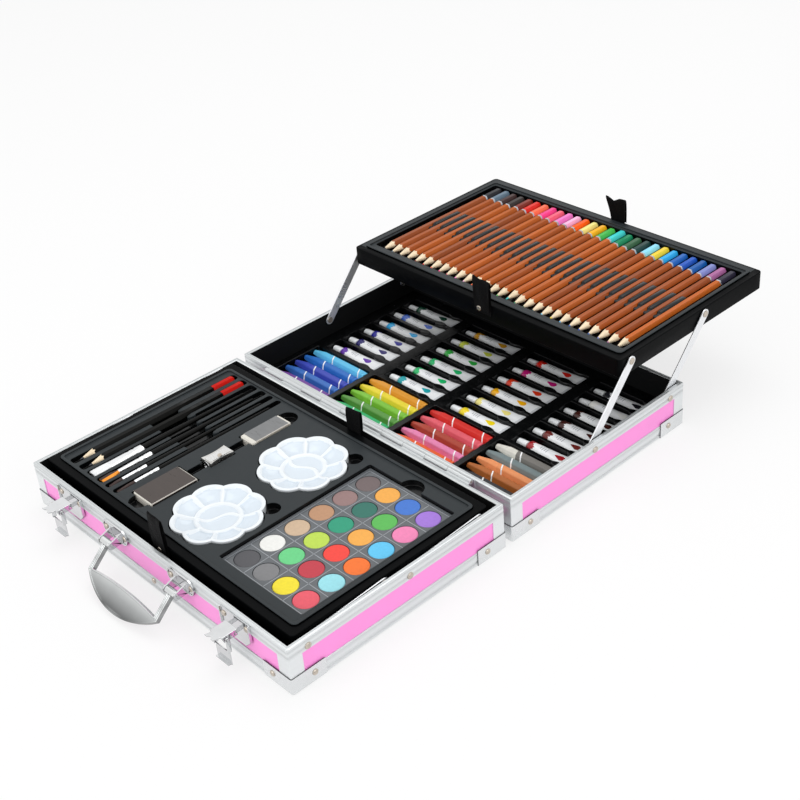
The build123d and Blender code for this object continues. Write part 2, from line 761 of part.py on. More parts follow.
for name, tray in (("pencil", pencil_tray), ("tool", tool_tray)):
    with BuildPart() as tray_box:
        block(tray_length, tray_depth, tray.floor, tray.top, y=tray.middle, corner=tray_corner)
        block(insert_length, insert_depth, tray.floor + tray_bottom, tray.top, y=tray.middle,
              corner=insert_corner, mode=Mode.SUBTRACT)
        drill(tray.pivot_places(), pivot_shank_radius + pivot_hole_clearance, pivot_embed)
    write(tray_box, f"{name}_tray_box")

    with BuildPart() as tray_rivets:
        with Locations(*tray.pivot_places()):
            add(tray_pivot.part)
        with Locations(*tray.stud_places()):
            add(stud.part)
    write(tray_rivets, f"{name}_tray_rivets")

    # Ribbon tabs: a strip up the outside of the tray that ends in a folded loop
    with BuildPart() as tray_tabs:
        for face, out in ((tray.near, -tray.side), (tray.y(tray_depth), tray.side)):
            with BuildSketch(Plane(origin=(tab_x - tab_width / 2, face, tray.floor), x_dir=(0, 1, 0),
                                   z_dir=(1, 0, 0))) as strip:
                with BuildLine():
                    top = tray_height + tab_rise
                    loop_low = tray_height + tab_rise * 0.35
                    Polyline((0, stud_height - tab_below_stud), (0, loop_low))
                    RadiusArc((0, loop_low), (0, top - tab_loop_width / 2), -out * tab_rise)
                    ThreePointArc((0, top - tab_loop_width / 2), (out * tab_loop_width / 2, top),
                                  (out * tab_loop_width, top - tab_loop_width / 2))
                    Polyline((out * tab_loop_width, top - tab_loop_width / 2), (out * tab_thick, loop_low),
                             (out * tab_thick, stud_height - tab_below_stud), (0, stud_height - tab_below_stud))
                make_face()
            extrude(strip.sketch, amount=tab_width)
    write(tray_tabs, f"{name}_tray_tabs")

    # Two pairs of flat arms, the near pair next to the hinge
    for pair, k in (("near", 0), ("far", 1)):
        pivot_y = half_y(tray.side, near_pivot_d + k * pivot_spacing)
        with BuildPart() as arms:
            for x_sign in (-1, 1):
                inner_face = tray_length / 2 + arm_spacer
                start_x = inner_face if x_sign == 1 else -inner_face - arm_thick
                along = (0, tray.side * cos(radians(tray.arm_angle)), sin(radians(tray.arm_angle)))
                with BuildSketch(Plane(origin=(start_x, pivot_y, pivot_height), x_dir=along,
                                       z_dir=(1, 0, 0))) as strip:
                    with Locations((arm_reach / 2, 0)):
                        SlotCenterToCenter(arm_reach, arm_width)
                    Circle(arm_eye_radius, mode=Mode.SUBTRACT)
                    with Locations((arm_reach, 0)):
                        SlotOverall(arm_slot_length, 2 * arm_eye_radius, mode=Mode.SUBTRACT)
                extrude(strip.sketch, amount=arm_thick)
        write(arms, f"{name}_tray_{pair}_arms")


def insert_blank(tray):
    """Slab that fills a tray box, with a raised border along its edge."""
    size = (insert_length - 2 * insert_play, insert_depth - 2 * insert_play)
    block(*size, tray.floor + tray_bottom, tray.top + border_height, y=tray.middle,
          corner=insert_corner - insert_play)
    block(size[0] - 2 * border_width, size[1] - 2 * border_width, tray.top, tray.top + border_height,
          y=tray.middle, corner=border_width, mode=Mode.SUBTRACT)


# Pencil casing, cut back by the sharpener cone, and the lead that stands out of it
with BuildPart() as casing:
    with BuildSketch(Plane.XY.offset(lead_length)):
        RegularPolygon(pencil_flats / 2 * hexagon, 6)
    extrude(amount=pencil_length - lead_length)
    with BuildSketch(Plane.XZ) as envelope:
        with BuildLine():
            corner = pencil_flats / 2 * hexagon + 0.1
            Polyline((0, lead_length), (lead_radius, lead_length), (corner, pencil_cone),
                     (corner, pencil_length - pencil_end_bevel), (corner - pencil_end_bevel, pencil_length),
                     (0, pencil_length), (0, lead_length))
        make_face()
    revolve(envelope.sketch, axis=Axis.Z, mode=Mode.INTERSECT)

with BuildPart() as lead:
    Cone(0.2, lead_radius, lead_length, align=(Align.CENTER, Align.CENTER, Align.MIN))

# Pencil tray insert: one recess with finger ridges between the pencils
pencil_x = [(k - (pencil_count - 1) / 2) * pencil_pitch for k in range(pencil_count)]
recess_y = pencil_tray.y(recess_start_w + recess_depth / 2)
recess_floor = pencil_tray.top - pencil_recess_depth
with BuildPart() as pencil_tray_insert:
    insert_blank(pencil_tray)
    block(recess_length, recess_depth, recess_floor, pencil_tray.top, y=recess_y, corner=3.0,
          mode=Mode.SUBTRACT)
    with BuildSketch(Plane(origin=(0, pencil_tray.y(finger_ridge_w), recess_floor))) as ridges:
        with GridLocations(pencil_pitch, 0, pencil_count - 1, 1):
            Rectangle(finger_ridge_width, finger_ridge_length)
    extrude(ridges.sketch, amount=finger_ridge_height)
write(pencil_tray_insert, "pencil_tray_insert")

pencil_z = recess_floor + item_play + pencil_flats / 2
pencil_places = [lying(x, pencil_tray.y(pencil_start_w), pencil_z) for x in pencil_x]
with BuildPart() as pencil_casings:
    with Locations(*pencil_places):
        add(casing.part)
write(pencil_casings, "pencil_casings")

with BuildPart() as pencil_leads:
    with Locations(*pencil_places):
        add(lead.part)
write(pencil_leads, "pencil_leads")

# Tool tray: slots for two graphite pencils and four brushes, then a stepped row, palettes and colours
left_edge = -insert_length / 2
wide_x = [left_edge + slot_first_x + k * wide_slot_pitch for k in range(wide_slot_count)]
thin_x = [wide_x[-1] + (k + 1) * thin_slot_pitch for k in range(thin_slot_count)]
slot_x = wide_x + thin_x
slot_widths = ([wide_slot_width] * 2 + [flat_slot_width, wide_slot_width] + [thin_slot_width] * thin_slot_count)
slot_middle = tool_tray.from_far(slot_start + slot_length / 2)
slot_floor = tool_tray.top - slot_depth
row_centre = left_edge + row_x
palette_y = [tool_tray.from_far(palette_first + k * palette_pitch) for k in range(2)]
palette_centre_x = left_edge + palette_x
colour_centre = (left_edge + colour_x, tool_tray.from_far(colour_s))


def petal_outline(extra):
    """Plan of a flower palette, grown by a clearance, round the sketch's own origin."""
    lobe_ring = palette_radius - lobe_radius
    Circle(lobe_ring + extra)
    with PolarLocations(lobe_ring, palette_lobes, start_angle=180 / palette_lobes):
        Circle(lobe_radius + extra)


eraser_pockets = [(eraser_big, eraser_big_start), (eraser_small, eraser_small_start)]
with BuildPart() as tool_tray_insert:
    insert_blank(tool_tray)
    for x, width in zip(slot_x, slot_widths):
        block(width, slot_length, slot_floor, tool_tray.top, x=x, y=slot_middle, corner=slot_corner,
              mode=Mode.SUBTRACT)
    block(slot_x[-1] - slot_x[0], trough_length, tool_tray.top - trough_depth, tool_tray.top,
          x=(slot_x[0] + slot_x[-1]) / 2, y=tool_tray.from_far(trough_start + trough_length / 2),
          corner=3.0, mode=Mode.SUBTRACT)
    for size, start in eraser_pockets:
        block(size[0] + 2 * pocket_play, size[1] + 2 * pocket_play,
              tool_tray.top + item_proud - size[2] - item_play, tool_tray.top,
              x=row_centre, y=tool_tray.from_far(start + size[1] / 2), mode=Mode.SUBTRACT)
    block(sharpener_width + 2 * pocket_play, sharpener_length + 2 * pocket_play,
          tool_tray.top + sharpener_proud - sharpener_height - item_play, tool_tray.top, x=row_centre,
          y=tool_tray.from_far(sharpener_start + sharpener_length / 2), mode=Mode.SUBTRACT)
    block(channel_width, row_notch_back - row_notch_front, tool_tray.top - trough_depth, tool_tray.top,
          x=row_centre, y=tool_tray.from_far((row_notch_front + row_notch_back) / 2), mode=Mode.SUBTRACT)
    disc(row_notch_radius, tool_tray.top - trough_depth, tool_tray.top,
         [(row_centre, tool_tray.from_far(s)) for s in (row_notch_front, row_notch_back)], mode=Mode.SUBTRACT)
    for y in palette_y:
        with BuildSketch(Plane(origin=(palette_centre_x, y,
                                       tool_tray.top + palette_proud - palette_height - item_play))) as bed:
            petal_outline(1.0)
            with PolarLocations(palette_radius + palette_notch_radius / 2, 1, palette_notch_angle):
                Circle(palette_notch_radius)
        extrude(bed.sketch, amount=palette_height, mode=Mode.SUBTRACT)
    colour_floor = tool_tray.top - colour_box_sunk - colour_box_height - item_play
    block(colour_box_width + 2 * colour_box_play, colour_box_length + 2 * colour_box_play, colour_floor,
          tool_tray.top, x=colour_centre[0], y=colour_centre[1], corner=2.0, mode=Mode.SUBTRACT)
    disc(colour_box_notch, tool_tray.top - trough_depth, tool_tray.top,
         [(colour_centre[0], colour_centre[1] + colour_box_length / 2)], mode=Mode.SUBTRACT)
write(tool_tray_insert, "tool_tray_insert")

graphite_z = slot_floor + item_play + pencil_flats / 2
pencil_tip_s = slot_start + pencil_front_play
graphite_places = [lying(x, tool_tray.from_far(pencil_tip_s), graphite_z) for x in slot_x[:2]]
with BuildPart() as graphite_casings:
    with Locations(*graphite_places):
        add(casing.part)
write(graphite_casings, "graphite_casings")

with BuildPart() as graphite_leads:
    with Locations(*graphite_places):
        add(lead.part)
write(graphite_leads, "graphite_leads")

# Brushes lie along Y with the hair towards the handle side: two flat ones and two thin round ones
brush_x = slot_x[2:]
flat_widths = (flat_brush_width, angle_brush_width)
brush_start = tool_tray.from_far(slot_start + brush_start_play)


def brush_plane(x, along, radius):
    """Plane across a brush at a distance from its tip."""
    z = slot_floor + item_play + radius
    return Plane(origin=(x, brush_start + along, z), x_dir=(1, 0, 0), z_dir=(0, 1, 0))


with BuildPart() as brush_hair:
    for x, width in zip(brush_x[:2], flat_widths):
        with BuildSketch(brush_plane(x, 0, handle_radius)) as tip:
            Rectangle(width, 0.6)
        with BuildSketch(brush_plane(x, brush_hair_length, handle_radius)) as root:
            Rectangle(width - 0.6, hair_thick)
        loft([tip.sketch, root.sketch])
    for x in brush_x[2:]:
        with Locations(brush_plane(x, 0, thin_handle_radius).location):
            Cone(0.2, thin_handle_radius * 0.7, brush_hair_length / 2,
                 align=(Align.CENTER, Align.CENTER, Align.MIN))
write(brush_hair, "brush_hair")

with BuildPart() as brush_ferrules:
    for x, width in zip(brush_x[:2], flat_widths):
        with BuildSketch(brush_plane(x, brush_hair_length, handle_radius)) as mouth:
            Ellipse(width / 2, hair_thick / 2 + 0.5)
        with BuildSketch(brush_plane(x, brush_hair_length + ferrule_length, handle_radius)) as grip:
            Circle(handle_radius)
        loft([mouth.sketch, grip.sketch])
    for x in brush_x[2:]:
        with Locations(brush_plane(x, brush_hair_length / 2, thin_handle_radius).location):
            Cone(thin_handle_radius * 0.7, thin_handle_radius, thin_ferrule_length,
                 align=(Align.CENTER, Align.CENTER, Align.MIN))
write(brush_ferrules, "brush_ferrules")

with BuildPart() as brush_handles:
    for x in brush_x:
        thin = x in brush_x[2:]
        radius = thin_handle_radius if thin else handle_radius
        start = brush_hair_length / 2 + thin_ferrule_length if thin else brush_hair_length + ferrule_length
        with Locations(brush_plane(x, start, radius).location):
            Cone(radius, handle_tail_radius, brush_length - start, align=(Align.CENTER, Align.CENTER, Align.MIN))
write(brush_handles, "brush_handles")

# Erasers in paper sleeves
with BuildPart() as erasers:
    for size, start in eraser_pockets:
        top = tool_tray.top + item_proud
        block(size[0] - 2 * sleeve_thick, size[1], top - size[2] + sleeve_thick, top - sleeve_thick,
              x=row_centre, y=tool_tray.from_far(start + size[1] / 2), corner=1.0)
write(erasers, "erasers")

with BuildPart() as eraser_sleeves:
    for size, start in eraser_pockets:
        top = tool_tray.top + item_proud
        low_y = tool_tray.from_far(start) + sleeve_bare
        with BuildSketch(Plane(origin=(row_centre, low_y, top - size[2] / 2), x_dir=(1, 0, 0),
                               z_dir=(0, 1, 0))) as band:
            Rectangle(size[0], size[2])
            Rectangle(size[0] - 2 * sleeve_thick, size[2] - 2 * sleeve_thick, mode=Mode.SUBTRACT)
        extrude(band.sketch, amount=size[1] - 2 * sleeve_bare)
write(eraser_sleeves, "eraser_sleeves")

# Wedge sharpener with waisted sides, a tapered hole and a blade screwed to its top
sharpener_y = tool_tray.from_far(sharpener_start + sharpener_length / 2)
sharpener_floor = tool_tray.top + sharpener_proud - sharpener_height
half_w = sharpener_width / 2
half_l = sharpener_length / 2
blade_seat = sharpener_floor + sharpener_height - blade_thick
with BuildPart() as sharpener_body:
    with BuildSketch(Plane(origin=(row_centre, sharpener_y, sharpener_floor))):
        with BuildLine():
            ThreePointArc((half_w, -half_l), (half_w - sharpener_waist, 0), (half_w, half_l))
            Line((half_w, half_l), (-half_w, half_l))
            ThreePointArc((-half_w, half_l), (-half_w + sharpener_waist, 0), (-half_w, -half_l))
            Line((-half_w, -half_l), (half_w, -half_l))
        make_face()
    extrude(amount=blade_seat - sharpener_floor)
    with Locations(Plane(origin=(row_centre, sharpener_y - half_l, sharpener_floor + sharpener_height * 0.47),
                         z_dir=(0, 1, 0)).location):
        Cone(3.9, 1.0, sharpener_length * 0.9, align=(Align.CENTER, Align.CENTER, Align.MIN), mode=Mode.SUBTRACT)
    with Locations((row_centre + half_w / 2, sharpener_y, blade_seat)):
        Cylinder(1.0, 3.0, mode=Mode.SUBTRACT)
write(sharpener_body, "sharpener_body")

blade_x = row_centre + half_w - sharpener_waist - blade_width / 2 - item_play
with BuildPart() as sharpener_blade:
    block(blade_width, sharpener_length - 2, blade_seat, blade_seat + blade_thick, x=blade_x, y=sharpener_y)
    with Locations((row_centre + half_w / 2, sharpener_y, blade_seat)):
        Cylinder(1.05, 3.0, mode=Mode.SUBTRACT)
write(sharpener_blade, "sharpener_blade")

with BuildPart() as sharpener_screw:
    with Locations((row_centre + half_w / 2, sharpener_y, blade_seat - 1.5)):
        Cylinder(0.95, 1.5 + blade_thick, align=(Align.CENTER, Align.CENTER, Align.MIN))
    with Locations((row_centre + half_w / 2, sharpener_y, blade_seat + blade_thick)):
        Cylinder(2.0, 0.8, align=(Align.CENTER, Align.CENTER, Align.MIN))
write(sharpener_screw, "sharpener_screw")

# Flower palettes: a dish of petals that slopes to a round middle well, parted by an S-shaped wall
well_sphere = (palette_well_radius ** 2 + palette_well_depth ** 2) / (2 * palette_well_depth)
with BuildPart() as palette:
    with BuildSketch(Plane.XY):
        petal_outline(0.0)
    extrude(amount=palette_height)
    with Locations((0, 0, palette_height - palette_dish)):
        Cone(palette_centre_radius + palette_divider, palette_radius - palette_rim, palette_dish,
             align=(Align.CENTER, Align.CENTER, Align.MIN), mode=Mode.SUBTRACT)
    with Locations((0, 0, palette_height - palette_well_depth + well_sphere)):
        with PolarLocations(palette_well_ring, palette_lobes, start_angle=180 / palette_lobes):
            Sphere(well_sphere, mode=Mode.SUBTRACT)
    with BuildSketch(Plane.XY.offset(palette_height - palette_centre_depth)) as bowl:
        Circle(palette_centre_radius)
        with BuildLine() as divider:
            bend = palette_centre_radius / 2
            ThreePointArc((-palette_centre_radius, 0), (-bend, bend * 0.6), (0, 0))
            ThreePointArc((0, 0), (bend, -bend * 0.6), (palette_centre_radius, 0))
        trace(divider.line, palette_divider, mode=Mode.SUBTRACT)
    extrude(bowl.sketch, amount=palette_centre_depth - palette_dish, mode=Mode.SUBTRACT)

palette_floor = tool_tray.top + palette_proud - palette_height
with BuildPart() as flower_palettes:
    with Locations(*[Location((palette_centre_x, y, palette_floor), (0, 0, turn))
                     for y, turn in zip(palette_y, (palette_turn, 0))]):
        add(palette.part)
write(flower_palettes, "flower_palettes")

# Watercolour box with a round well for each pan
pan_floor = colour_floor + item_play + colour_box_height - colour_box_lip - pan_height - pan_play
box_top = colour_floor + item_play + colour_box_height
with BuildPart() as colour_box:
    block(colour_box_width, colour_box_length, colour_floor + item_play, box_top,
          x=colour_centre[0], y=colour_centre[1], corner=colour_box_corner)
    block(colour_box_width - 2 * colour_box_wall, colour_box_length - 2 * colour_box_wall,
          box_top - colour_box_lip, box_top,
          x=colour_centre[0], y=colour_centre[1], mode=Mode.SUBTRACT)
    with BuildSketch(Plane(origin=(*colour_centre, pan_floor))) as wells:
        with GridLocations(pan_pitch_x, pan_pitch_y, pan_columns, row_count):
            Circle(pan_radius + pan_play)
    extrude(wells.sketch, amount=box_top - pan_floor, mode=Mode.SUBTRACT)
write(colour_box, "colour_box")

with BuildPart() as colour_pans:
    with BuildSketch(Plane(origin=(*colour_centre, pan_floor))) as discs:
        with GridLocations(pan_pitch_x, pan_pitch_y, pan_columns, row_count):
            Circle(pan_radius)
    extrude(discs.sketch, amount=pan_height)
write(colour_pans, "colour_pans")


def out_y(out):
    """Y of a distance out from the front wall."""
    return front_wall - out


def side_plane(x):
    """Plane across X whose own X runs out from the front wall and whose own Y is up."""
    return Plane(origin=(x, front_wall, 0), x_dir=(0, -1, 0), z_dir=(-1, 0, 0))


# Latch bases: a tapered plate with two ears and the lever's pin
pin_half = lever_width / 2 + 0.4
ear_x = latch_ear_gap / 2
with BuildPart() as latch_bases:
    for x_sign in (-1, 1):
        x = x_sign * latch_x
        half_width = latch_base_width / 2
        with BuildSketch(Plane(origin=(x, front_wall, 0), x_dir=(1, 0, 0), z_dir=(0, -1, 0))) as plate:
            with BuildLine():
                Polyline((-half_width, latch_base_high), (half_width, latch_base_high),
                         (half_width, latch_base_low + latch_base_taper),
                         (half_width - latch_base_taper, latch_base_low),
                         (latch_base_taper - half_width, latch_base_low),
                         (-half_width, latch_base_low + latch_base_taper), (-half_width, latch_base_high))
            make_face()
        extrude(plate.sketch, amount=plate_thick)
        for flange_sign in (-1, 1):
            block(plate_thick, latch_base_flange, latch_base_low + latch_base_taper, latch_base_high,
                  x=x + flange_sign * (half_width - plate_thick / 2), y=out_y(plate_thick + latch_base_flange / 2))
        for ear_sign in (-1, 1):
            ear_start = x + ear_sign * ear_x + (plate_thick if ear_sign > 0 else 0)
            with BuildSketch(side_plane(ear_start)) as ear:
                with Locations((latch_pivot_out, latch_pivot_height)):
                    Circle(latch_ear_radius)
                with Locations((latch_pivot_out / 2, latch_pivot_height)):
                    Rectangle(latch_pivot_out, 2 * latch_ear_radius)
            extrude(ear.sketch, amount=plate_thick)
        with Locations(Plane(origin=(x, out_y(latch_pivot_out), latch_pivot_height), z_dir=(1, 0, 0)).location):
            Cylinder(latch_pin_radius, 2 * pin_half)
    drill(latch_places, rivet_hole_radius, plate_thick)
write(latch_bases, "latch_bases")

# Latch levers and hooks, one of each on either side
hook_out = latch_pivot_out + hook_pivot_reach
flange_x = lever_width / 2
hook_inner = flange_x + hook_side_play
hook_half = hook_inner + plate_thick
roof_low = latch_pivot_height + lever_roof
for hand, x in (("left", -latch_x), ("right", latch_x)):
    with BuildPart() as lever:
        for flange_sign in (-1, 1):
            flange_start = x + (flange_x if flange_sign > 0 else -flange_x + plate_thick)
            with BuildSketch(side_plane(flange_start)) as flange:
                with BuildLine():
                    low = latch_pivot_height + lever_roof - lever_channel - plate_thick
                    Polyline((latch_pivot_out - lever_inner, low), (latch_pivot_out + finger_tab_start - 2, low),
                             (latch_pivot_out + finger_tab_start, roof_low),
                             (latch_pivot_out - lever_inner, roof_low), (latch_pivot_out - lever_inner, low))
                make_face()
            extrude(flange.sketch, amount=plate_thick)
        roof_start = latch_pivot_out - lever_inner
        roof_end = latch_pivot_out + finger_tab_start
        block(lever_width, roof_end - roof_start, roof_low, roof_low + plate_thick, x=x,
              y=out_y((roof_start + roof_end) / 2))
        tip_out = latch_pivot_out + lever_reach
        with BuildSketch(side_plane(x + finger_tab_width / 2)) as finger:
            with BuildLine():
                Line((roof_end - 1, roof_low), (roof_end, roof_low))
                ThreePointArc((roof_end, roof_low), ((roof_end + tip_out) / 2, roof_low + finger_tab_rise / 4),
                              (tip_out, roof_low + finger_tab_rise))
                Line((tip_out, roof_low + finger_tab_rise), (tip_out, roof_low + finger_tab_rise + plate_thick))
                ThreePointArc((tip_out, roof_low + finger_tab_rise + plate_thick),
                              ((roof_end + tip_out) / 2, roof_low + finger_tab_rise / 4 + plate_thick),
                              (roof_end, roof_low + plate_thick))
                Polyline((roof_end, roof_low + plate_thick), (roof_end - 1, roof_low + plate_thick),
                         (roof_end - 1, roof_low))
            make_face()
        extrude(finger.sketch, amount=finger_tab_width)
        with BuildSketch(Plane(origin=(x, out_y(tip_out), roof_low - 1))) as fishtail:
            with BuildLine():
                Polyline((-finger_tab_width / 4, 0), (0, 3.0), (finger_tab_width / 4, 0), (0, -1),
                         (-finger_tab_width / 4, 0))
            make_face()
        extrude(fishtail.sketch, amount=lever_channel + 2, mode=Mode.SUBTRACT)
        with Locations(Plane(origin=(x, out_y(latch_pivot_out), latch_pivot_height), z_dir=(1, 0, 0)).location):
            Cylinder(latch_pin_radius + latch_pin_play, lever_width + 1, mode=Mode.SUBTRACT)
        with Locations(Plane(origin=(x, out_y(hook_out), latch_pivot_height), z_dir=(1, 0, 0)).location):
            Cylinder(latch_pin_radius, 2 * hook_half + 1)
    write(lever, f"latch_lever_{hand}")

    with BuildPart() as hook:
        for arm_sign in (-1, 1):
            arm_start = x + (hook_half if arm_sign > 0 else -hook_inner)
            with BuildSketch(side_plane(arm_start)) as strap:
                with Locations((hook_out, latch_pivot_height)):
                    Circle(hook_arm_width / 2)
                with Locations((hook_out, latch_pivot_height - hook_arm_length / 2)):
                    Rectangle(hook_arm_width, hook_arm_length)
                with Locations((hook_out, latch_pivot_height)):
                    Circle(latch_pin_radius + latch_pin_play, mode=Mode.SUBTRACT)
            extrude(strap.sketch, amount=plate_thick)
        hook_bottom = latch_pivot_height - hook_length
        block(2 * hook_half, plate_thick, hook_bottom, latch_pivot_height - hook_arm_length, x=x, y=out_y(hook_out))
        block(2 * hook_inner, hook_lip, hook_bottom, hook_bottom + plate_thick, x=x,
              y=out_y(hook_out + hook_lip / 2))
    write(hook, f"latch_hook_{hand}")

# Handle lugs: an oval plate with two ears that hold the handle's pin
with BuildPart() as handle_lugs:
    for x_sign in (-1, 1):
        x = x_sign * lug_x
        with BuildSketch(Plane(origin=(x, front_wall, lug_centre_height), x_dir=(1, 0, 0),
                               z_dir=(0, -1, 0))) as plate:
            SlotOverall(lug_length, lug_height)
        extrude(plate.sketch, amount=lug_thick)
        with BuildSketch(Plane(origin=(x, out_y(lug_thick), lug_centre_height), x_dir=(1, 0, 0),
                               z_dir=(0, -1, 0))) as edge:
            SlotOverall(lug_length, lug_height)
            SlotOverall(lug_length - 2 * lug_edge, lug_height - 2 * lug_edge, mode=Mode.SUBTRACT)
        extrude(edge.sketch, amount=lug_edge_rise)
        for ear_sign in (-1, 1):
            inner = handle_barrel_length / 2 + handle_pin_play
            ear_start = x + (inner + lug_ear_thick if ear_sign > 0 else -inner)
            with BuildSketch(side_plane(ear_start)) as ear:
                with Locations((handle_pivot_out, handle_pivot_height)):
                    Circle(lug_ear_radius)
                with BuildLine():
                    Polyline((0, handle_pivot_height - lug_ear_radius + 1.0),
                             (handle_pivot_out, handle_pivot_height - lug_ear_radius),
                             (handle_pivot_out, handle_pivot_height + lug_ear_radius),
                             (0, handle_pivot_height + lug_ear_radius + 4.0),
                             (0, handle_pivot_height - lug_ear_radius + 1.0))
                make_face()
            extrude(ear.sketch, amount=lug_ear_thick)
        with Locations(Plane(origin=(x, out_y(handle_pivot_out), handle_pivot_height), z_dir=(1, 0, 0)).location):
            Cylinder(handle_pin_radius, handle_barrel_length + 2 * (handle_pin_play + lug_ear_thick) + 1.0)
    drill(lug_places, rivet_hole_radius, lug_thick)
write(handle_lugs, "handle_lugs")

# Carry handle: two arms and a crescent grip in one leaning plane
lean = radians(handle_angle)
handle_plane = Plane(origin=(0, out_y(handle_pivot_out), handle_pivot_height), x_dir=(1, 0, 0),
                     z_dir=(0, sin(lean), -cos(lean)))
arm_outer = lug_x + handle_arm_width / 2
arm_inner = lug_x - handle_arm_width / 2
with BuildPart() as carry_handle:
    with BuildSketch(handle_plane) as outline:
        with BuildLine():
            Line((-arm_outer, 0), (-arm_outer, handle_arm_length))
            ThreePointArc((-arm_outer, handle_arm_length), (0, handle_outer_middle), (arm_outer, handle_arm_length))
            Polyline((arm_outer, handle_arm_length), (arm_outer, 0), (arm_inner, 0), (arm_inner, handle_inner_length))
            ThreePointArc((arm_inner, handle_inner_length), (0, handle_inner_middle),
                          (-arm_inner, handle_inner_length))
            Polyline((-arm_inner, handle_inner_length), (-arm_inner, 0), (-arm_outer, 0))
        make_face()
    extrude(outline.sketch, amount=handle_thick / 2, both=True)
    # A sunk panel inside a raised edge, on both faces
    panel = offset(outline.sketch, amount=-handle_edge, mode=Mode.PRIVATE)
    for face in (-1, 1):
        shift = handle_plane.z_dir * face * (handle_thick / 2 - handle_groove / 2)
        with Locations(Location(shift)):
            add(extrude(panel, amount=handle_groove / 2, both=True, mode=Mode.PRIVATE), mode=Mode.SUBTRACT)
    for x_sign in (-1, 1):
        with Locations(Plane(origin=(x_sign * lug_x, out_y(handle_pivot_out), handle_pivot_height),
                             z_dir=(1, 0, 0)).location):
            Cylinder(handle_barrel_radius, handle_barrel_length)
            Cylinder(handle_pin_radius + handle_pin_play, handle_barrel_length, mode=Mode.SUBTRACT)
write(carry_handle, "carry_handle")

print("hinge_y", round(hinge_y, 3), "handle angle", round(handle_angle, 3))
print("tray length", round(tray_length, 3), "floors", round(pencil_tray.floor, 3), round(tool_tray.floor, 3))
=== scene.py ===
"""Looks of the metal art set case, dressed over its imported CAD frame.

Lengths are in millimetres, and points turn into metres where a mesh is made.
X runs along the case, Y from the handle to the far side and Z up.
"""
import json
import random
from math import cos, degrees, hypot, pi, radians, sin, sqrt, tau

import bmesh
import bpy
from mathutils import Matrix, Vector


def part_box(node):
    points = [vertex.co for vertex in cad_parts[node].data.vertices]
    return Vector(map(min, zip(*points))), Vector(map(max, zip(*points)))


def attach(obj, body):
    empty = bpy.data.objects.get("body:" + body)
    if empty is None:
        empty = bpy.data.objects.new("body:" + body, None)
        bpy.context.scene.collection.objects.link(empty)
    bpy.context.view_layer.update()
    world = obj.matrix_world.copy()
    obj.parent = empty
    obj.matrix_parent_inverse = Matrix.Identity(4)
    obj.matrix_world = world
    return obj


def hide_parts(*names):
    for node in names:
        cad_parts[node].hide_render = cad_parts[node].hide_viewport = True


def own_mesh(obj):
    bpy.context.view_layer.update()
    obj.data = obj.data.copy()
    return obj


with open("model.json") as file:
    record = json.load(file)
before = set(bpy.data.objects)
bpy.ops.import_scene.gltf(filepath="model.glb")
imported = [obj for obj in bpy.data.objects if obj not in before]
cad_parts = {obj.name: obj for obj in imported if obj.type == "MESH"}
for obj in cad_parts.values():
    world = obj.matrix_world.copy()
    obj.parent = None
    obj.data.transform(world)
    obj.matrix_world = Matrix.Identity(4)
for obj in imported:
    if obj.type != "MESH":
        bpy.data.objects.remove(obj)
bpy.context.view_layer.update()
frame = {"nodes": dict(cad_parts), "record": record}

MM = 0.001
WHITE = (1.0, 1.0, 1.0)
HEX = 2 / sqrt(3)
ALONG_X, ALONG_Y, ALONG_Z = (1, 0, 0), (0, 1, 0), (0, 0, 1)
chance = random.Random(11)

# Sizes that the part's source names too
CASE_LENGTH, HALF_DEPTH, HALF_HEIGHT, HINGE_GAP = 370.0, 240.0, 46.0, 7.0
CAP_SHEET, RIM_WIDTH, RIM_BAND, BOTTOM_BAND = 0.8, 4.3, 11.5, 14.0
CONTENT_PITCH, PENCIL_COUNT, PENCIL_PITCH, PENCIL_FLATS, PAN_R = 87.4, 28, 11.5, 7.0, 11.0


def corners(source):
    """Lowest and highest corner of a CAD node's box."""
    return tuple(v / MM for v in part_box(source))


def middle(source):
    """Centre of a CAD node's box."""
    low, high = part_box(source)
    return (low + high) / 2 / MM


HINGE = middle("hinge_pin").y
COLUMN_X = [(k - 1.5) * CONTENT_PITCH for k in range(4)]
body_of = {n: b for b, names in frame["record"]["behaviour"]["bodies"].items() for n in names}


def half_y(side, inward):
    """Y at a distance from the hinge wall of the rear (1) or front (-1) half."""
    return HINGE + side * (HINGE_GAP / 2 + inward)


# Colours
def linear(*values):
    """Linear colour from sRGB values of 0 to 255."""
    return tuple((v / 255 / 12.92) if v <= 10 else ((v / 255 + 0.055) / 1.055) ** 2.4 for v in values)


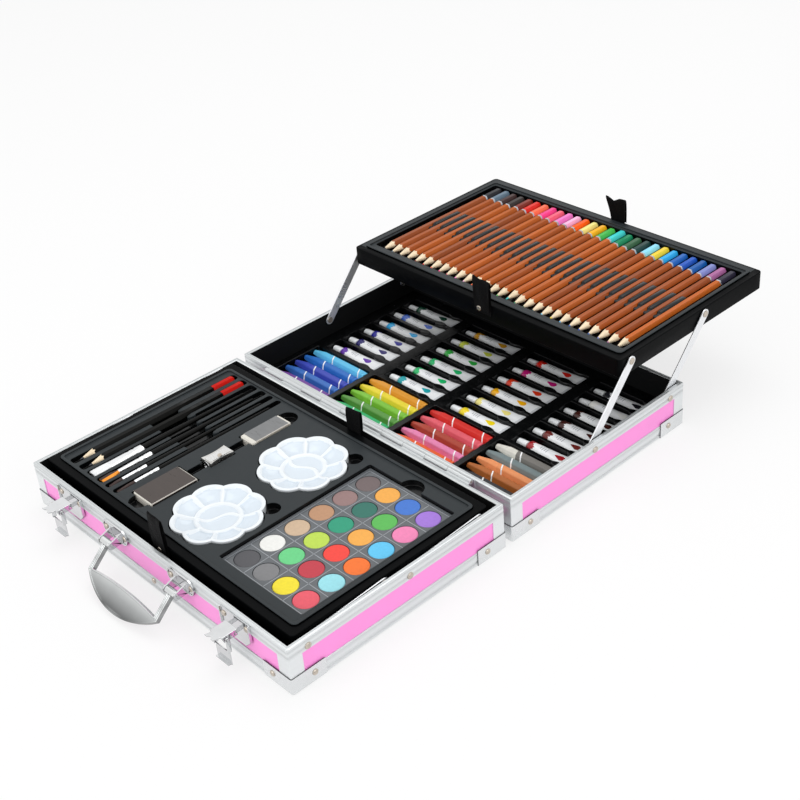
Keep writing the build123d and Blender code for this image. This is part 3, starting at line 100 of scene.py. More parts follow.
PAINT = {name: linear(*rgb) for name, rgb in dict(
    black=(32, 32, 38), slate=(100, 122, 140), umber=(62, 38, 36), charcoal=(52, 44, 42),
    maroon=(130, 40, 24), red=(224, 36, 24), coral=(252, 112, 78), magenta=(252, 66, 145),
    rose=(253, 100, 128), orchid=(250, 125, 205), blush=(253, 185, 224), orange=(254, 95, 12),
    cream=(246, 232, 136), amber=(252, 182, 10), green=(70, 188, 82), turquoise=(68, 212, 210),
    emerald=(16, 138, 92), olive=(58, 102, 70), pine=(28, 66, 62), sky=(145, 224, 254), yellow=(253, 220, 60),
    azure=(44, 178, 240), blue=(26, 100, 186), royal=(28, 88, 192), cobalt=(22, 96, 176),
    lilac=(132, 142, 206), mauve=(176, 104, 160), ink=(42, 38, 58), violet=(100, 50, 170), navy=(40, 35, 110),
    indigo=(35, 35, 150), cornflower=(80, 120, 220), forest=(20, 75, 55), teal=(25, 165, 175),
    mint=(30, 190, 110), leaf=(50, 180, 70), lime=(205, 215, 75), ochre=(215, 155, 30), lemon=(250, 222, 20),
    scarlet=(235, 60, 25), cerise=(205, 30, 125), crimson=(165, 25, 35), russet=(115, 40, 35),
    cocoa=(70, 30, 25), white=(246, 246, 242), sand=(214, 186, 156), tan=(196, 150, 116),
    taupe=(156, 126, 124), stone=(118, 104, 104), smoke=(88, 88, 92), ash=(132, 132, 134),
    apricot=(250, 178, 80), pink=(250, 140, 190), purple=(170, 125, 225), ice=(160, 230, 240),
    salmon=(240, 95, 110), sun=(250, 230, 50), chartreuse=(195, 225, 85), jade=(45, 160, 125),
    spruce=(52, 118, 104), grass=(95, 190, 90), fresh=(110, 215, 140), brick=(200, 62, 76),
    brown=(190, 105, 35), peach=(253, 160, 100), grey=(125, 140, 142), chalk=(235, 232, 222),
    orchard=(130, 205, 50), meadow=(90, 160, 60), gold=(235, 160, 35), cyan=(100, 205, 250),
    tomato=(250, 72, 62), lake=(70, 124, 214), carrot=(254, 122, 46), cinnamon=(182, 62, 38),
    ultra=(54, 72, 190), denim=(50, 115, 205), plum=(125, 70, 165), bay=(28, 112, 205),
).items()}


def rows(*lines):
    """One list of tints for each line of names."""
    return [[PAINT[name] for name in line.split()] for line in lines]


def faded(tint, share, lift):
    """A tint with less contrast."""
    return tuple(min(1.0, c * share + lift) for c in tint)


# Materials, by their names
M = {}
MIX_FACTOR, MIX_A, MIX_B, MIX_RESULT = 0, 6, 7, 2


def feed(tree, target, value):
    """Gives an input a value, or the value of another node's output."""
    if isinstance(value, bpy.types.NodeSocket):
        tree.links.new(value, target)
    else:
        target.default_value = value


def node(tree, kind, **values):
    """A new shader node, with what its inputs get and its own settings."""
    made = tree.nodes.new("ShaderNode" + kind)
    for key, value in values.items():
        if key in made.inputs:
            feed(tree, made.inputs[key], value)
        else:
            setattr(made, key, value)
    return made


def spread(tree, value, low, high, start=0.3, end=0.7):
    """Maps a value that runs from start to end onto low to high."""
    limits = {"From Min": start, "From Max": end, "To Min": low, "To Max": high}
    return node(tree, "MapRange", Value=value, **limits).outputs["Result"]


def times(tree, first, second):
    """Product of two colours."""
    made = node(tree, "Mix", data_type="RGBA", blend_type="MULTIPLY")
    for key, value in ((MIX_FACTOR, 1.0), (MIX_A, first), (MIX_B, second)):
        feed(tree, made.inputs[key], value)
    return made.outputs[MIX_RESULT]


def painted_light_ramp(tree, colour, direction, start, end, base, stops):
    """Painted light and shade: a colour times a grey that follows the Z of a direction or place, from base at
    its start.
    """
    parts = node(tree, "SeparateXYZ", Vector=direction)
    ramp = node(tree, "ValToRGB", Fac=spread(tree, parts.outputs["Z"], 0.0, 1.0, start, end))
    marks = ramp.color_ramp.elements
    marks[0].color = (base, base, base, 1)
    marks[1].color = (1, 1, 1, 1)
    for at, level in stops:
        mark = marks[-1] if at == 1 else marks.new(at)
        mark.color = (level, level, level, 1)
    return times(tree, colour, ramp.outputs["Color"])


def relief(tree, place, scale, strength, depth, kind="noise"):
    """A bump of noise, of cells, or of crossed waves as in a weave."""
    if kind == "noise":
        grain = node(tree, "TexNoise", Vector=place, Scale=scale, Detail=3.0).outputs["Fac"]
    elif kind == "cells":
        grain = node(tree, "TexVoronoi", Vector=place, Scale=scale).outputs["Distance"]
    else:
        cross = node(tree, "Math", operation="MULTIPLY")
        for k, axis in enumerate(("X", "DIAGONAL")):
            wave = node(tree, "TexWave", Vector=place, Scale=scale, bands_direction=axis)
            feed(tree, cross.inputs[k], wave.outputs["Fac"])
        grain = cross.outputs["Value"]
    bump = node(tree, "Bump", Height=grain, Strength=strength, Distance=depth * MM)
    return bump.outputs["Normal"]


def finish(name, color=None, rough=0.4, metal=0.0, mottle=(0.05, 90), stretch=(1, 1, 1), rough_spread=0.06,
           bump=None, coat=0.0, sheen=0.0, specular=0.5, painted_light_by_normal=None, painted_light_by_height=None):
    """A procedural material. With no colour, each face's tint gives it. mottle is (strength, scale). Its last
    two arguments paint light and shade on it, the first by the way its normal points, the second by its
    height between two heights."""
    made = M[name] = bpy.data.materials.new(name)
    made.use_nodes = True
    tree = made.node_tree
    place = node(tree, "TexCoord")
    mapping = node(tree, "Mapping", Vector=place.outputs["Object"], Scale=stretch)
    mapped = mapping.outputs["Vector"]
    cloud = node(tree, "TexNoise", Vector=mapped, Scale=mottle[1], Detail=5.0, Roughness=0.6)
    cloudy = cloud.outputs["Fac"]
    if color is None:
        base = node(tree, "Attribute", attribute_name="tint").outputs["Color"]
    else:
        base = (*color, 1.0)
    base = times(tree, base, spread(tree, cloudy, 1 - mottle[0], 1 + mottle[0]))
    # Painted reflection and shade: the colour is darkened by the way each face's normal points.
    if painted_light_by_normal:
        base = painted_light_ramp(tree, base, place.outputs["Normal"], -1.0, 1.0, *painted_light_by_normal)
    # Painted highlights and shade: the colour is darkened in bands by height.
    if painted_light_by_height:
        level, stops, bottom, top = painted_light_by_height
        base = painted_light_ramp(tree, base, place.outputs["Object"], bottom * MM, top * MM, level, stops)
    dull = spread(tree, cloudy, max(rough - rough_spread, 0.02), rough + rough_spread)
    looks = {"Base Color": base, "Roughness": dull, "Metallic": metal, "Coat Weight": coat,
             "Coat Roughness": 0.08, "Sheen Weight": sheen, "Specular IOR Level": specular}
    if bump:
        looks["Normal"] = relief(tree, mapped, *bump)
    for key, value in looks.items():
        feed(tree, tree.nodes["Principled BSDF"].inputs[key], value)


finish("pink_board", linear(254, 150, 222), 0.36, mottle=(0.02, 35), bump=(900, 0.06, 0.2), coat=0.15,
       specular=0.35)
# The aluminium gets painted reflection and shade, lighter or darker by the way each face points.
finish("bright_extrusion", (0.83, 0.86, 0.87), 0.32, 0.75, mottle=(0.02, 6), stretch=(1, 1, 40),
       bump=(500, 0.03, 0.1), painted_light_by_normal=(0.6, [(0.5, 0.94), (0.7, 0.72), (0.97, 0.78), (1, 0.8)]))
# A near black for painted shade along the caps' seams.
finish("painted_seam_shade", (0.07, 0.07, 0.075), 0.4, 0.3, mottle=(0.1, 90))
# The plated sheet gets painted shade, darkest on faces that point down.
finish("plated_sheet", (0.85, 0.87, 0.88), 0.28, 0.8, mottle=(0.04, 25), bump=(180, 0.05, 0.2),
       painted_light_by_normal=(0.5, [(0.5, 0.9), (0.7, 0.8)]))
finish("rivet_metal", (0.55, 0.49, 0.42), 0.3, 0.9, mottle=(0.15, 400))
finish("arm_steel", (0.86, 0.87, 0.89), 0.3, 0.85, mottle=(0.06, 60), bump=(300, 0.05, 0.1))
# Chrome gets painted reflections: dark and bright bands by the way each face points.
finish("chrome", (0.74, 0.75, 0.76), 0.08, 1.0, mottle=(0.06, 70), rough_spread=0.03,
       painted_light_by_normal=(0.2, [(0.4, 0.3), (0.5, 0.9), (0.6, 0.3), (0.72, 0.55), (0.9, 1.0)]))
# The grip gets painted reflections by the way its faces point, and painted highlights and shade by height.
finish("polished_grip", (0.8, 0.82, 0.82), 0.12, 1.0, mottle=(0.08, 30), rough_spread=0.03,
       painted_light_by_normal=(0.2, [(0.45, 0.6), (0.56, 0.3), (0.64, 0.85), (0.9, 0.85)]),
       painted_light_by_height=(0.75, [(0.1, 0.8), (0.17, 0.25), (0.3, 0.45), (0.42, 0.62), (0.6, 0.95), (0.78, 0.7)], 0, 30))
finish("felt_lining", linear(6, 7, 8), 0.8, mottle=(0.25, 500), bump=(1500, 0.4, 0.3), sheen=0.03,
       specular=0.12)
finish("black_leathercloth", linear(5, 6, 7), 0.4, mottle=(0.2, 200), bump=(900, 0.2, 0.12, "cells"),
       specular=0.04)
finish("formed_sheet", linear(35, 41, 44), 0.45, mottle=(0.06, 120), bump=(1400, 0.2, 0.12), specular=0.26)
finish("black_formed_sheet", linear(7, 8, 9), 0.22, mottle=(0.1, 120), bump=(1200, 0.1, 0.1), specular=0.3)
# The bars get painted shade on their lower and steep sides.
finish("glossy_bar", linear(12, 15, 17), 0.2, mottle=(0.06, 120), specular=0.3, painted_light_by_normal=(0.5, [(0.7, 0.7)]))
finish("black_ribbon", linear(7, 7, 8), 0.55, mottle=(0.2, 300), bump=(1400, 0.5, 0.15, "weave"), sheen=0.02,
       specular=0.06)
finish("pencil_lacquer", None, 0.34, mottle=(0.1, 30), stretch=(4, 0.6, 4), coat=0.08, specular=0.22)
finish("bare_wood", None, 0.6, mottle=(0.12, 120), stretch=(6, 0.6, 6), bump=(400, 0.2, 0.1), specular=0.3)
finish("black_pencil_lacquer", None, 0.35, mottle=(0.15, 60), stretch=(4, 0.6, 4), specular=0.08)
finish("lead", None, 0.45, mottle=(0.08, 500))
finish("silver_band", (0.5, 0.53, 0.57), 0.25, 0.8)
finish("pastel_wax", None, 0.42, mottle=(0.08, 160), bump=(500, 0.25, 0.15), coat=0.05, specular=0.35)
finish("paper_sleeve", None, 0.4, mottle=(0.04, 200), bump=(900, 0.12, 0.08), coat=0.08, specular=0.35)
finish("tube_film", None, 0.25, mottle=(0.03, 60), bump=(120, 0.12, 0.4), coat=0.15, specular=0.4)
finish("screw_cap", linear(248, 251, 253), 0.3, mottle=(0.02, 100), coat=0.1)
finish("white_moulding", linear(238, 243, 247), 0.2, mottle=(0.015, 50), bump=(60, 0.04, 0.3), coat=0.2)
# The wells' darker, bluer white is painted shade on the same white moulding.
finish("white_well", linear(220, 230, 239), 0.22, mottle=(0.015, 50), bump=(60, 0.04, 0.3), coat=0.2)
finish("brush_hair", None, 0.5, mottle=(0.12, 300), stretch=(8, 0.3, 8), bump=(600, 0.6, 0.3))
finish("ferrule", (0.86, 0.87, 0.88), 0.2, 0.85, mottle=(0.04, 90))
finish("black_lacquer", linear(6, 6, 5), 0.3, mottle=(0.2, 90), specular=0.1)
finish("eraser_wrap", None, 0.32, mottle=(0.08, 60), stretch=(1, 4, 1), bump=(700, 0.08, 0.1), specular=0.4)
finish("eraser_rubber", linear(226, 222, 212), 0.6, mottle=(0.06, 200), bump=(700, 0.2, 0.1))
# The sharpener's metal gets painted reflection and shade by the way each face points.
finish("milled_metal", (0.66, 0.65, 0.63), 0.25, 0.95, bump=(600, 0.03, 0.1),
       painted_light_by_normal=(0.3, [(0.5, 0.9), (0.62, 0.5), (0.9, 0.8)]))
finish("blade_steel", (0.75, 0.75, 0.74), 0.2, 1.0, mottle=(0.12, 300), stretch=(1, 12, 1))
finish("smoked_plastic", linear(92, 96, 100), 0.18, mottle=(0.05, 60), coat=0.2)
finish("cell_walls", linear(150, 154, 160), 0.12, mottle=(0.15, 90), coat=0.4)
finish("dry_colour", None, 0.75, mottle=(0.05, 350), bump=(900, 0.3, 0.15), specular=0.25)


# Mesh making
def pick(value, i, j):
    return value(i, j) if callable(value) else value


class Mesher:
    """Collects faces, each with a material and a tint."""

    def __init__(self, name):
        self.name = name
        self.points, self.faces, self.slots, self.tints = [], [], [], []

    def face(self, ids, slot=0, tint=WHITE):
        self.faces.append(tuple(ids))
        self.slots.append(slot)
        self.tints.append(tint)

    def loft(self, rings, slot=0, tint=WHITE, loop=False, caps=True):
        """Faces between closed rings of equal length. slot and tint may be functions of (ring, segment)."""
        start, n = len(self.points), len(rings[0])
        for ring in rings:
            self.points += [tuple(p) for p in ring]
        spans = len(rings) if loop else len(rings) - 1
        for i in range(spans):
            low, high = start + i * n, start + (i + 1) % len(rings) * n
            for j in range(n):
                k = (j + 1) % n
                self.face((low + j, low + k, high + k, high + j), pick(slot, i, j), pick(tint, i, j))
        if caps and not loop:
            for ring, order in ((0, range(n)), (len(rings) - 1, reversed(range(n)))):
                span = min(ring, spans - 1)
                self.face([start + ring * n + j for j in order], pick(slot, span, 0), pick(tint, span, 0))

    def make(self, materials, *sources, sharp=50, replaces=True):
        """The piece, on the body of the first CAD node in sources."""
        mesh = bpy.data.meshes.new(self.name)
        mesh.from_pydata([Vector(p) * MM for p in self.points], [], self.faces)
        mesh.polygons.foreach_set("material_index", self.slots)
        layer = mesh.attributes.new("tint", "FLOAT_COLOR", "CORNER")
        values = []
        for tint, face in zip(self.tints, self.faces):
            values += [*tint, 1.0] * len(face)
        layer.data.foreach_set("color", values)
        return dress(mesh, self.name, materials, sources, sharp, replaces)


WELD_METRES = 2e-6
BEVEL_FROM, SOFT_SHARP = radians(30), 38


def put_in_scene(name, data):
    made = bpy.data.objects.new(name, data)
    bpy.context.scene.collection.objects.link(made)
    return made


def dress(mesh, name, materials, sources, sharp, replaces=True, bevel=0.0, segments=2, merge=True):
    """Welds, rounds and shades a mesh, and puts it on the body of its first CAD node."""
    bm = bmesh.new()
    bm.from_mesh(mesh)
    bmesh.ops.remove_doubles(bm, verts=bm.verts, dist=WELD_METRES)
    bmesh.ops.recalc_face_normals(bm, faces=bm.faces)
    if bevel:
        if merge:
            bmesh.ops.dissolve_limit(bm, angle_limit=radians(1), verts=bm.verts, edges=bm.edges,
                                     delimit={"MATERIAL"})
        edges = [e for e in bm.edges if e.is_manifold and e.calc_face_angle(0) > BEVEL_FROM]
        bmesh.ops.bevel(bm, geom=edges, offset=bevel * MM, segments=segments, profile=0.5, affect="EDGES",
                        clamp_overlap=False)
    bm.to_mesh(mesh)
    bm.free()
    mesh.polygons.foreach_set("use_smooth", [True] * len(mesh.polygons))
    mesh.set_sharp_from_angle(angle=radians(sharp))
    for material in materials.split():
        mesh.materials.append(M[material])
    piece = put_in_scene(name, mesh)
    if bevel:
        weights = piece.modifiers.new("even_normals", "WEIGHTED_NORMAL")
        weights.keep_sharp = True
        graph = bpy.context.evaluated_depsgraph_get()
        final = bpy.data.meshes.new_from_object(piece.evaluated_get(graph))
        piece.modifiers.clear()
        piece.data = final
    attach(piece, body_of[sources[0]])
    if replaces:
        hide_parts(*sources)
    return piece


def soften(name, source, material, bevel, segments=2, merge=True):
    """A CAD node's shape with rounded edges."""
    mesh = frame["nodes"][source].data.copy()
    mesh.materials.clear()
    return dress(mesh, name, material, [source], SOFT_SHARP, True, bevel, segments, merge)


def paint(source, material):
    """A better material on a CAD node that stays."""
    data = frame["nodes"][source].data
    data.materials.clear()
    data.materials.append(M[material])


def paint_faces(piece, material, wanted, *limits):
    """One more material, on the faces that wanted picks by their middle and normal."""
    piece.data.materials.append(M[material])
    added = len(piece.data.materials) - 1
    for face in piece.data.polygons:
        if wanted(face.center / MM, face.normal, *limits):
            face.material_index = added


def placer(origin, along=ALONG_Y, across=ALONG_X):
    """Maps (across, up, along) from an origin to the frame."""
    origin, z = Vector(origin), Vector(along).normalized()
    x = Vector(across).normalized()
    y = z.cross(x)
    return lambda a, b, c: origin + x * a + y * b + z * c


def circle(radius, count):
    return [(radius * cos(tau * k / count), radius * sin(tau * k / count)) for k in range(count)]


def lathe(mesh, put, profile, count, tint=WHITE):
    """A turned shape: profile gives (radius, distance along)."""
    mesh.loft([[put(x, y, h) for x, y in circle(max(r, 0.001), count)] for r, h in profile], 0, tint)


def ease(v):
    """A smooth step from 0 to 1."""
    v = min(max(v, 0.0), 1.0)
    return v * v * (3 - 2 * v)


# Case halves
CORNER_R, CORNER_STEPS = 1.5, 4
OUTER_X, OUTER_Y = CASE_LENGTH / 2 - CAP_SHEET, HALF_DEPTH / 2 - CAP_SHEET
RIM_SHEET = 0.9


def run_round(mesh, profile, centre_y, slot=0):
    """A closed cross-section of (out, z) points, run round a case half."""
    rings = []
    for sx, sy, turn in ((1, 1, 0), (-1, 1, 90), (-1, -1, 180), (1, -1, 270)):
        for k in range(CORNER_STEPS + 1):
            a = radians(turn + 90 * k / CORNER_STEPS)
            ring = []
            for out, z in profile:
                r = max(CORNER_R + out, 0.0)
                x, y = sx * (OUTER_X + out - r) + r * cos(a), sy * (OUTER_Y + out - r) + r * sin(a)
                ring.append((x, centre_y + y, z))
            rings.append(ring)
    mesh.loft(rings, slot, loop=True)


def groove(start, width, depth):
    """A shallow groove in an outer face, from its lower edge to its upper one."""
    return [(0, start), (-depth, start + 0.2), (-depth, start + width - 0.2), (0, start + width)]


def rim_channel(half, centre_y):
    """The profile over the wall's upper edge, bright outside and lined inside."""
    top, low, w = HALF_HEIGHT, HALF_HEIGHT - RIM_BAND, RIM_WIDTH
    bright = [(0, low), *groove(low + 2.6, 0.8, 0.18), *groove(top - 3.0, 0.8, 0.18), (0, top - 0.8),
              (-0.25, top - 0.25), (-0.8, top), (-1.5, top), (-1.62, top - 0.35), (-2.68, top - 0.35),
              (-2.8, top), (-w + 0.7, top), (-w + 0.2, top - 0.2)]
    lined = [(-w, top - 0.7), (-w, low), (-w + RIM_SHEET, low), (-w + RIM_SHEET, top - RIM_SHEET),
             (-RIM_SHEET, top - RIM_SHEET), (-RIM_SHEET, low)]
    rim = Mesher(f"{half}_rim")
    run_round(rim, bright + lined, centre_y, lambda i, j: int(j >= len(bright)))
    rim.make("bright_extrusion felt_lining", f"{half}_rim_profile")


def bottom_angle(half, centre_y):
    """The profile round the lower edge, with its flange under the bottom panel."""
    top, flange, under = BOTTOM_BAND, 12, 1.7
    profile = [(0, CAP_SHEET), *groove(3.0, 0.8, 0.15), *groove(top - 2.4, 0.7, 0.15), (0, top - 0.3),
               (-0.3, top), (-RIM_SHEET, top), (-RIM_SHEET, under), (-flange, under), (-flange, CAP_SHEET)]
    angle = Mesher(f"{half}_bottom_angle")
    run_round(angle, profile, centre_y)
    angle.make("bright_extrusion", f"{half}_bottom_profile")


def cut_edge(at, normal, low, high):
    """Whether a face of the corner caps is a cut edge of their sheet."""
    off_x, off_y = min(at.x - low.x, high.x - at.x), min(at.y - low.y, high.y - at.y)
    within = min(off_x, off_y, at.z - low.z) > 0.3
    return within and (max(off_x, off_y) > 2 * CAP_SHEET or normal.z > 0.8)


for half, side in (("rear", 1), ("front", -1)):
    rim_channel(half, half_y(side, HALF_DEPTH / 2))
    bottom_angle(half, half_y(side, HALF_DEPTH / 2))
    sheet = soften(f"{half}_caps", f"{half}_corner_caps", "plated_sheet", 0.1)
    # The cut edges of the caps' sheet are painted near black as shade, a dark line round each cap.
    paint_faces(sheet, "painted_seam_shade", cut_edge, *corners(f"{half}_corner_caps"))
    soften(f"{half}_posts", f"{half}_corner_posts", "bright_extrusion", 0.2)
    soften(f"{half}_leaf", f"{half}_hinge_leaf", "bright_extrusion", 0.15)
    paint(f"{half}_bottom_panel", "pink_board")
    paint(f"{half}_side_panels", "pink_board")
    paint(f"{half}_lining", "felt_lining")
    soften(f"{half}_rivet_heads", f"{half}_rivets", "rivet_metal", 0.2)
paint("hinge_pin", "rivet_metal")
soften("strikes", "latch_strikes", "chrome", 0.25)

# Trays, their inserts and arms
INSERT_FACE = 2.0
LIP, STRIP, LEDGE, LEDGE_DROP = 2.2, 7.5, 12.0, 1.5


def shaded_under_face(at, normal, level):
    """Whether a face of an insert isn't part of its upper face, and so gets painted shade."""
    return normal.z <= 0.3 or at.z <= level


def on_ledge(at, normal, low, high):
    """Whether a face is on the box's grey ledge, along its far and left walls."""
    inside = low.x + LIP < at.x < high.x - STRIP and low.y + STRIP < at.y < high.y - LIP
    return (inside and (at.x < low.x + LEDGE or at.y > high.y - LEDGE) and normal.z > 0.5
            and at.z > high.z - LEDGE_DROP)


for tray in ("pencil", "tool"):
    soften(f"{tray}_box_shell", f"{tray}_tray_box", "black_leathercloth", 0.8, 3)
    formed = soften(f"{tray}_formed_insert", f"{tray}_tray_insert", "formed_sheet", 0.45, merge=False)
    # The recess walls and floors of each insert are painted black as shade; its upper face stays grey.
    paint_faces(formed, "black_formed_sheet", shaded_under_face, corners(f"{tray}_tray_insert")[1].z - INSERT_FACE)
    soften(f"{tray}_studs", f"{tray}_tray_rivets", "rivet_metal", 0.2)
    for pair in ("near", "far"):
        soften(f"{tray}_{pair}_bars", f"{tray}_tray_{pair}_arms", "arm_steel", 0.25)
soften("rear_formed_insert", "rear_insert", "black_formed_sheet", 0.6, 3)

shell = bpy.data.objects["pencil_box_shell"]
low, high = corners("pencil_tray_box")
cut = bmesh.new()
cut.from_mesh(shell.data)
for axis, place in ((ALONG_X, high.x - LIP), (ALONG_X, low.x + LIP), (ALONG_Y, high.y - LIP),
                    (ALONG_Y, low.y + STRIP), (ALONG_X, high.x - STRIP), (ALONG_X, low.x + LEDGE),
                    (ALONG_Y, high.y - LEDGE)):
    bmesh.ops.bisect_plane(cut, geom=cut.verts[:] + cut.edges[:] + cut.faces[:],
                           plane_co=Vector(axis) * place * MM, plane_no=axis)
cut.to_mesh(shell.data)
cut.free()
paint_faces(shell, "formed_sheet", on_ledge, low, high)

# Finger bars between the pencils, over the CAD's ridges, which are lowered under the pencils
FINGER_Y = 219.7
BAR_SECTION = ((-1.5, -3.4), (-1.6, 0.2), (-2.3, 1.4), (-2.8, 2.6), (-2.6, 3.5), (-1.3, 4.4),
               (1.3, 4.4), (2.6, 3.5), (2.8, 2.6), (2.3, 1.4), (1.6, 0.2), (1.5, -3.4))
# Distance along, share of the width and highest point, from the near end's saddle to the far end
BAR_STATIONS = ((-23.5, 0.5, -3.0), (-23.2, 0.8, 0.4), (-22.2, 0.95, 1.5), (-20.4, 0.98, 1.7),
                (-18.6, 0.72, 1.2), (-17.4, 0.75, 1.3), (-15.8, 1.0, 2.9), (-14.0, 1.0, 4.4),
                (20.0, 1.0, 4.4), (21.6, 0.9, 3.4), (22.3, 0.6, 1.0), (22.4, 0.5, -2.0))
RIDGE_INSET_X, RIDGE_INSET_Y, RIDGE_LEFT = 2, 30, 0.2
low, high = corners("pencil_casings")
pencil_z = (low.z + high.z) / 2
for vertex in bpy.data.objects["pencil_formed_insert"].data.vertices:
    at = vertex.co / MM
    over = low.y + RIDGE_INSET_Y < at.y < high.y - RIDGE_INSET_Y and abs(at.x) < high.x - RIDGE_INSET_X
    if over and at.z > low.z + RIDGE_LEFT:
        vertex.co.z = (low.z + RIDGE_LEFT) * MM
bars = Mesher("finger_bars")
for k in range(PENCIL_COUNT - 1):
    x = (k - (PENCIL_COUNT - 2) / 2) * PENCIL_PITCH
    bars.loft([[(x + u * share, FINGER_Y + along, pencil_z + min(v, top)) for u, v in BAR_SECTION]
               for along, share, top in BAR_STATIONS])
bars.make("glossy_bar", "pencil_tray_insert", sharp=60, replaces=False)

# Coloured pencils and graphite pencils
CAP_TINTS, = rows("black slate umber charcoal maroon red coral magenta rose orchid blush orange cream amber "
                  "green turquoise emerald olive pine sky yellow azure blue royal cobalt lilac mauve ink")
LACQUER = [linear(182, 90, 22), linear(166, 80, 22), linear(192, 95, 24), linear(152, 74, 26)]
BARE_WOOD = linear(246, 226, 194)
GRAPHITE_BODY, GRAPHITE_END, GRAPHITE_LEAD = linear(10, 10, 8), linear(200, 22, 10), linear(70, 70, 74)
PENCIL_SIDES, LEAD_END, CONE_END, BAND = 24, 3.5, 16.0, 2.0
LEAD_OUT, LOW_PENCIL, LOW_SHIFT = 3.5, 15, 3.6


def hex_reach(angle):
    """Distance from a pencil's middle to its side, with a corner on the first axis."""
    turn = (degrees(angle) % 60) - 30
    return PENCIL_FLATS / 2 / cos(radians(turn))


def pencil(mesh, put, length, body_tint, end_tint, lead_tint, dipped, band=0.0):
    """One sharpened six-sided pencil, tip first: slots are lacquer, wood, lead and band. dipped is the length
    of its painted end."""
    angles = [tau * k / PENCIL_SIDES for k in range(PENCIL_SIDES)]
    corner = PENCIL_FLATS / 2 * HEX + 0.1
    reach = [min(hex_reach(a), corner - 0.12) for a in angles]

    def place(radii, heights):
        return [put(r * cos(a), r * sin(a), t) for r, a, t in zip(radii, angles, heights)]

    def round_ring(r, t):
        return place([r] * PENCIL_SIDES, [t] * PENCIL_SIDES)

    def cone_ring(t):
        return round_ring(1.0 + (t - LEAD_END) / (CONE_END - LEAD_END) * (corner - 1.0), t)

    def ring(t, share=1.0, limit=corner):
        return place([min(r * share, limit) for r in reach], [t] * PENCIL_SIDES)

    def scallop(extra):
        """The wavy edge where the cone meets the lacquer."""
        heights = [CONE_END - 1.6 + 1.6 * (r / corner - 0.86) / 0.14 + extra for r in reach]
        return place([r * 0.995 for r in reach], heights)

    mesh.loft([round_ring(0.25, 0), round_ring(0.62, 1.5), cone_ring(LEAD_END)], 2, lead_tint)
    mesh.loft([*[cone_ring(t) for t in (LEAD_END, 6.5, 9.5, 12.4)], scallop(0)], 1, BARE_WOOD, caps=False)
    dip, first = length - dipped, CONE_END + 3
    end = dip - band
    body = [ring(first + (end - first) * k / 3) for k in range(4)]
    mesh.loft([scallop(0), scallop(0.15), *body], 0, body_tint, caps=False)
    if band:
        mesh.loft([ring(end), ring(end + 0.2, 1.02), ring(dip - 0.2, 1.02), ring(dip)], 3, caps=False)
    dome = [ring(dip), ring(dip + 0.3, 1.015), ring(length - 3.0, 1.015)]
    for below, share in ((1.7, 0.96), (0.8, 0.82), (0.25, 0.55), (0, 0.2)):
        dome.append(ring(length - below, share, PENCIL_FLATS / 2 * 1.1 * share))
    mesh.loft(dome, 0, end_tint)


length = high.y - low.y + LEAD_OUT
pencils = Mesher("coloured_pencils")
for k, tint in enumerate(CAP_TINTS):
    shift = LOW_SHIFT if k == LOW_PENCIL else chance.uniform(0.1, 1.4)
    x = (k - (PENCIL_COUNT - 1) / 2) * PENCIL_PITCH + chance.uniform(-0.15, 0.15)
    tone = LACQUER[chance.randrange(len(LACQUER))]
    put = placer((x, low.y - LEAD_OUT + shift, pencil_z))
    pencil(pencils, put, length + 1.4, tone, tint, tint, 24.5, BAND)
pencils.make("pencil_lacquer bare_wood lead silver_band", "pencil_casings", "pencil_leads", sharp=28)

low, high = corners("graphite_casings")
graphite = Mesher("graphite_pencils")
for x in (low.x + PENCIL_FLATS / 2 * HEX, high.x - PENCIL_FLATS / 2 * HEX):
    put = placer((x, low.y - LEAD_OUT, (low.z + high.z) / 2))
    pencil(graphite, put, length, GRAPHITE_BODY, GRAPHITE_END, GRAPHITE_LEAD, 26.0)
graphite.make("black_pencil_lacquer bare_wood lead", "graphite_casings", "graphite_leads", sharp=28)

# Oil pastels and their paper sleeves
PASTEL_ROWS = rows("violet plum denim ultra bay cyan", "jade mint meadow orchard sun gold",
                   "scarlet orange pink cinnamon salmon red", "smoke black brown peach grey chalk")
PASTEL_PITCH, PASTEL_FLATS, PASTEL_START, SLEEVE = 12.8, 10.2, -39.7, 0.5
# Flats and distance along of a stick, then distance along and lean of a sleeve
STICK_STOPS = ((4.2, 0), (5.2, 0.5), (9.4, 13.5), (PASTEL_FLATS, 15), (PASTEL_FLATS, 78.8), (9.6, 79.4))
SLEEVE_STOPS = ((26, -0.3), (26.4, -0.3), (30.0, -0.6), (31.6, -0.6), (69.2, -0.6), (70.8, -0.6), (75.6, 0),
                (76.4, 0))
WHITE_BANDS = (2, 4)
CHALK_SLEEVE = linear(126, 123, 118)


def hexagon(put, flats, t, lean=0.0):
    """A six-sided ring with small flats for its corners, which may lean along the stick."""
    r, points = flats / 2 * HEX * 0.95, []
    for c in range(6):
        for d in (-6, 6):
            a = radians(60 * c + d)
            points.append(put(r * cos(a), r * sin(a), t + lean * r * cos(a)))
    return points


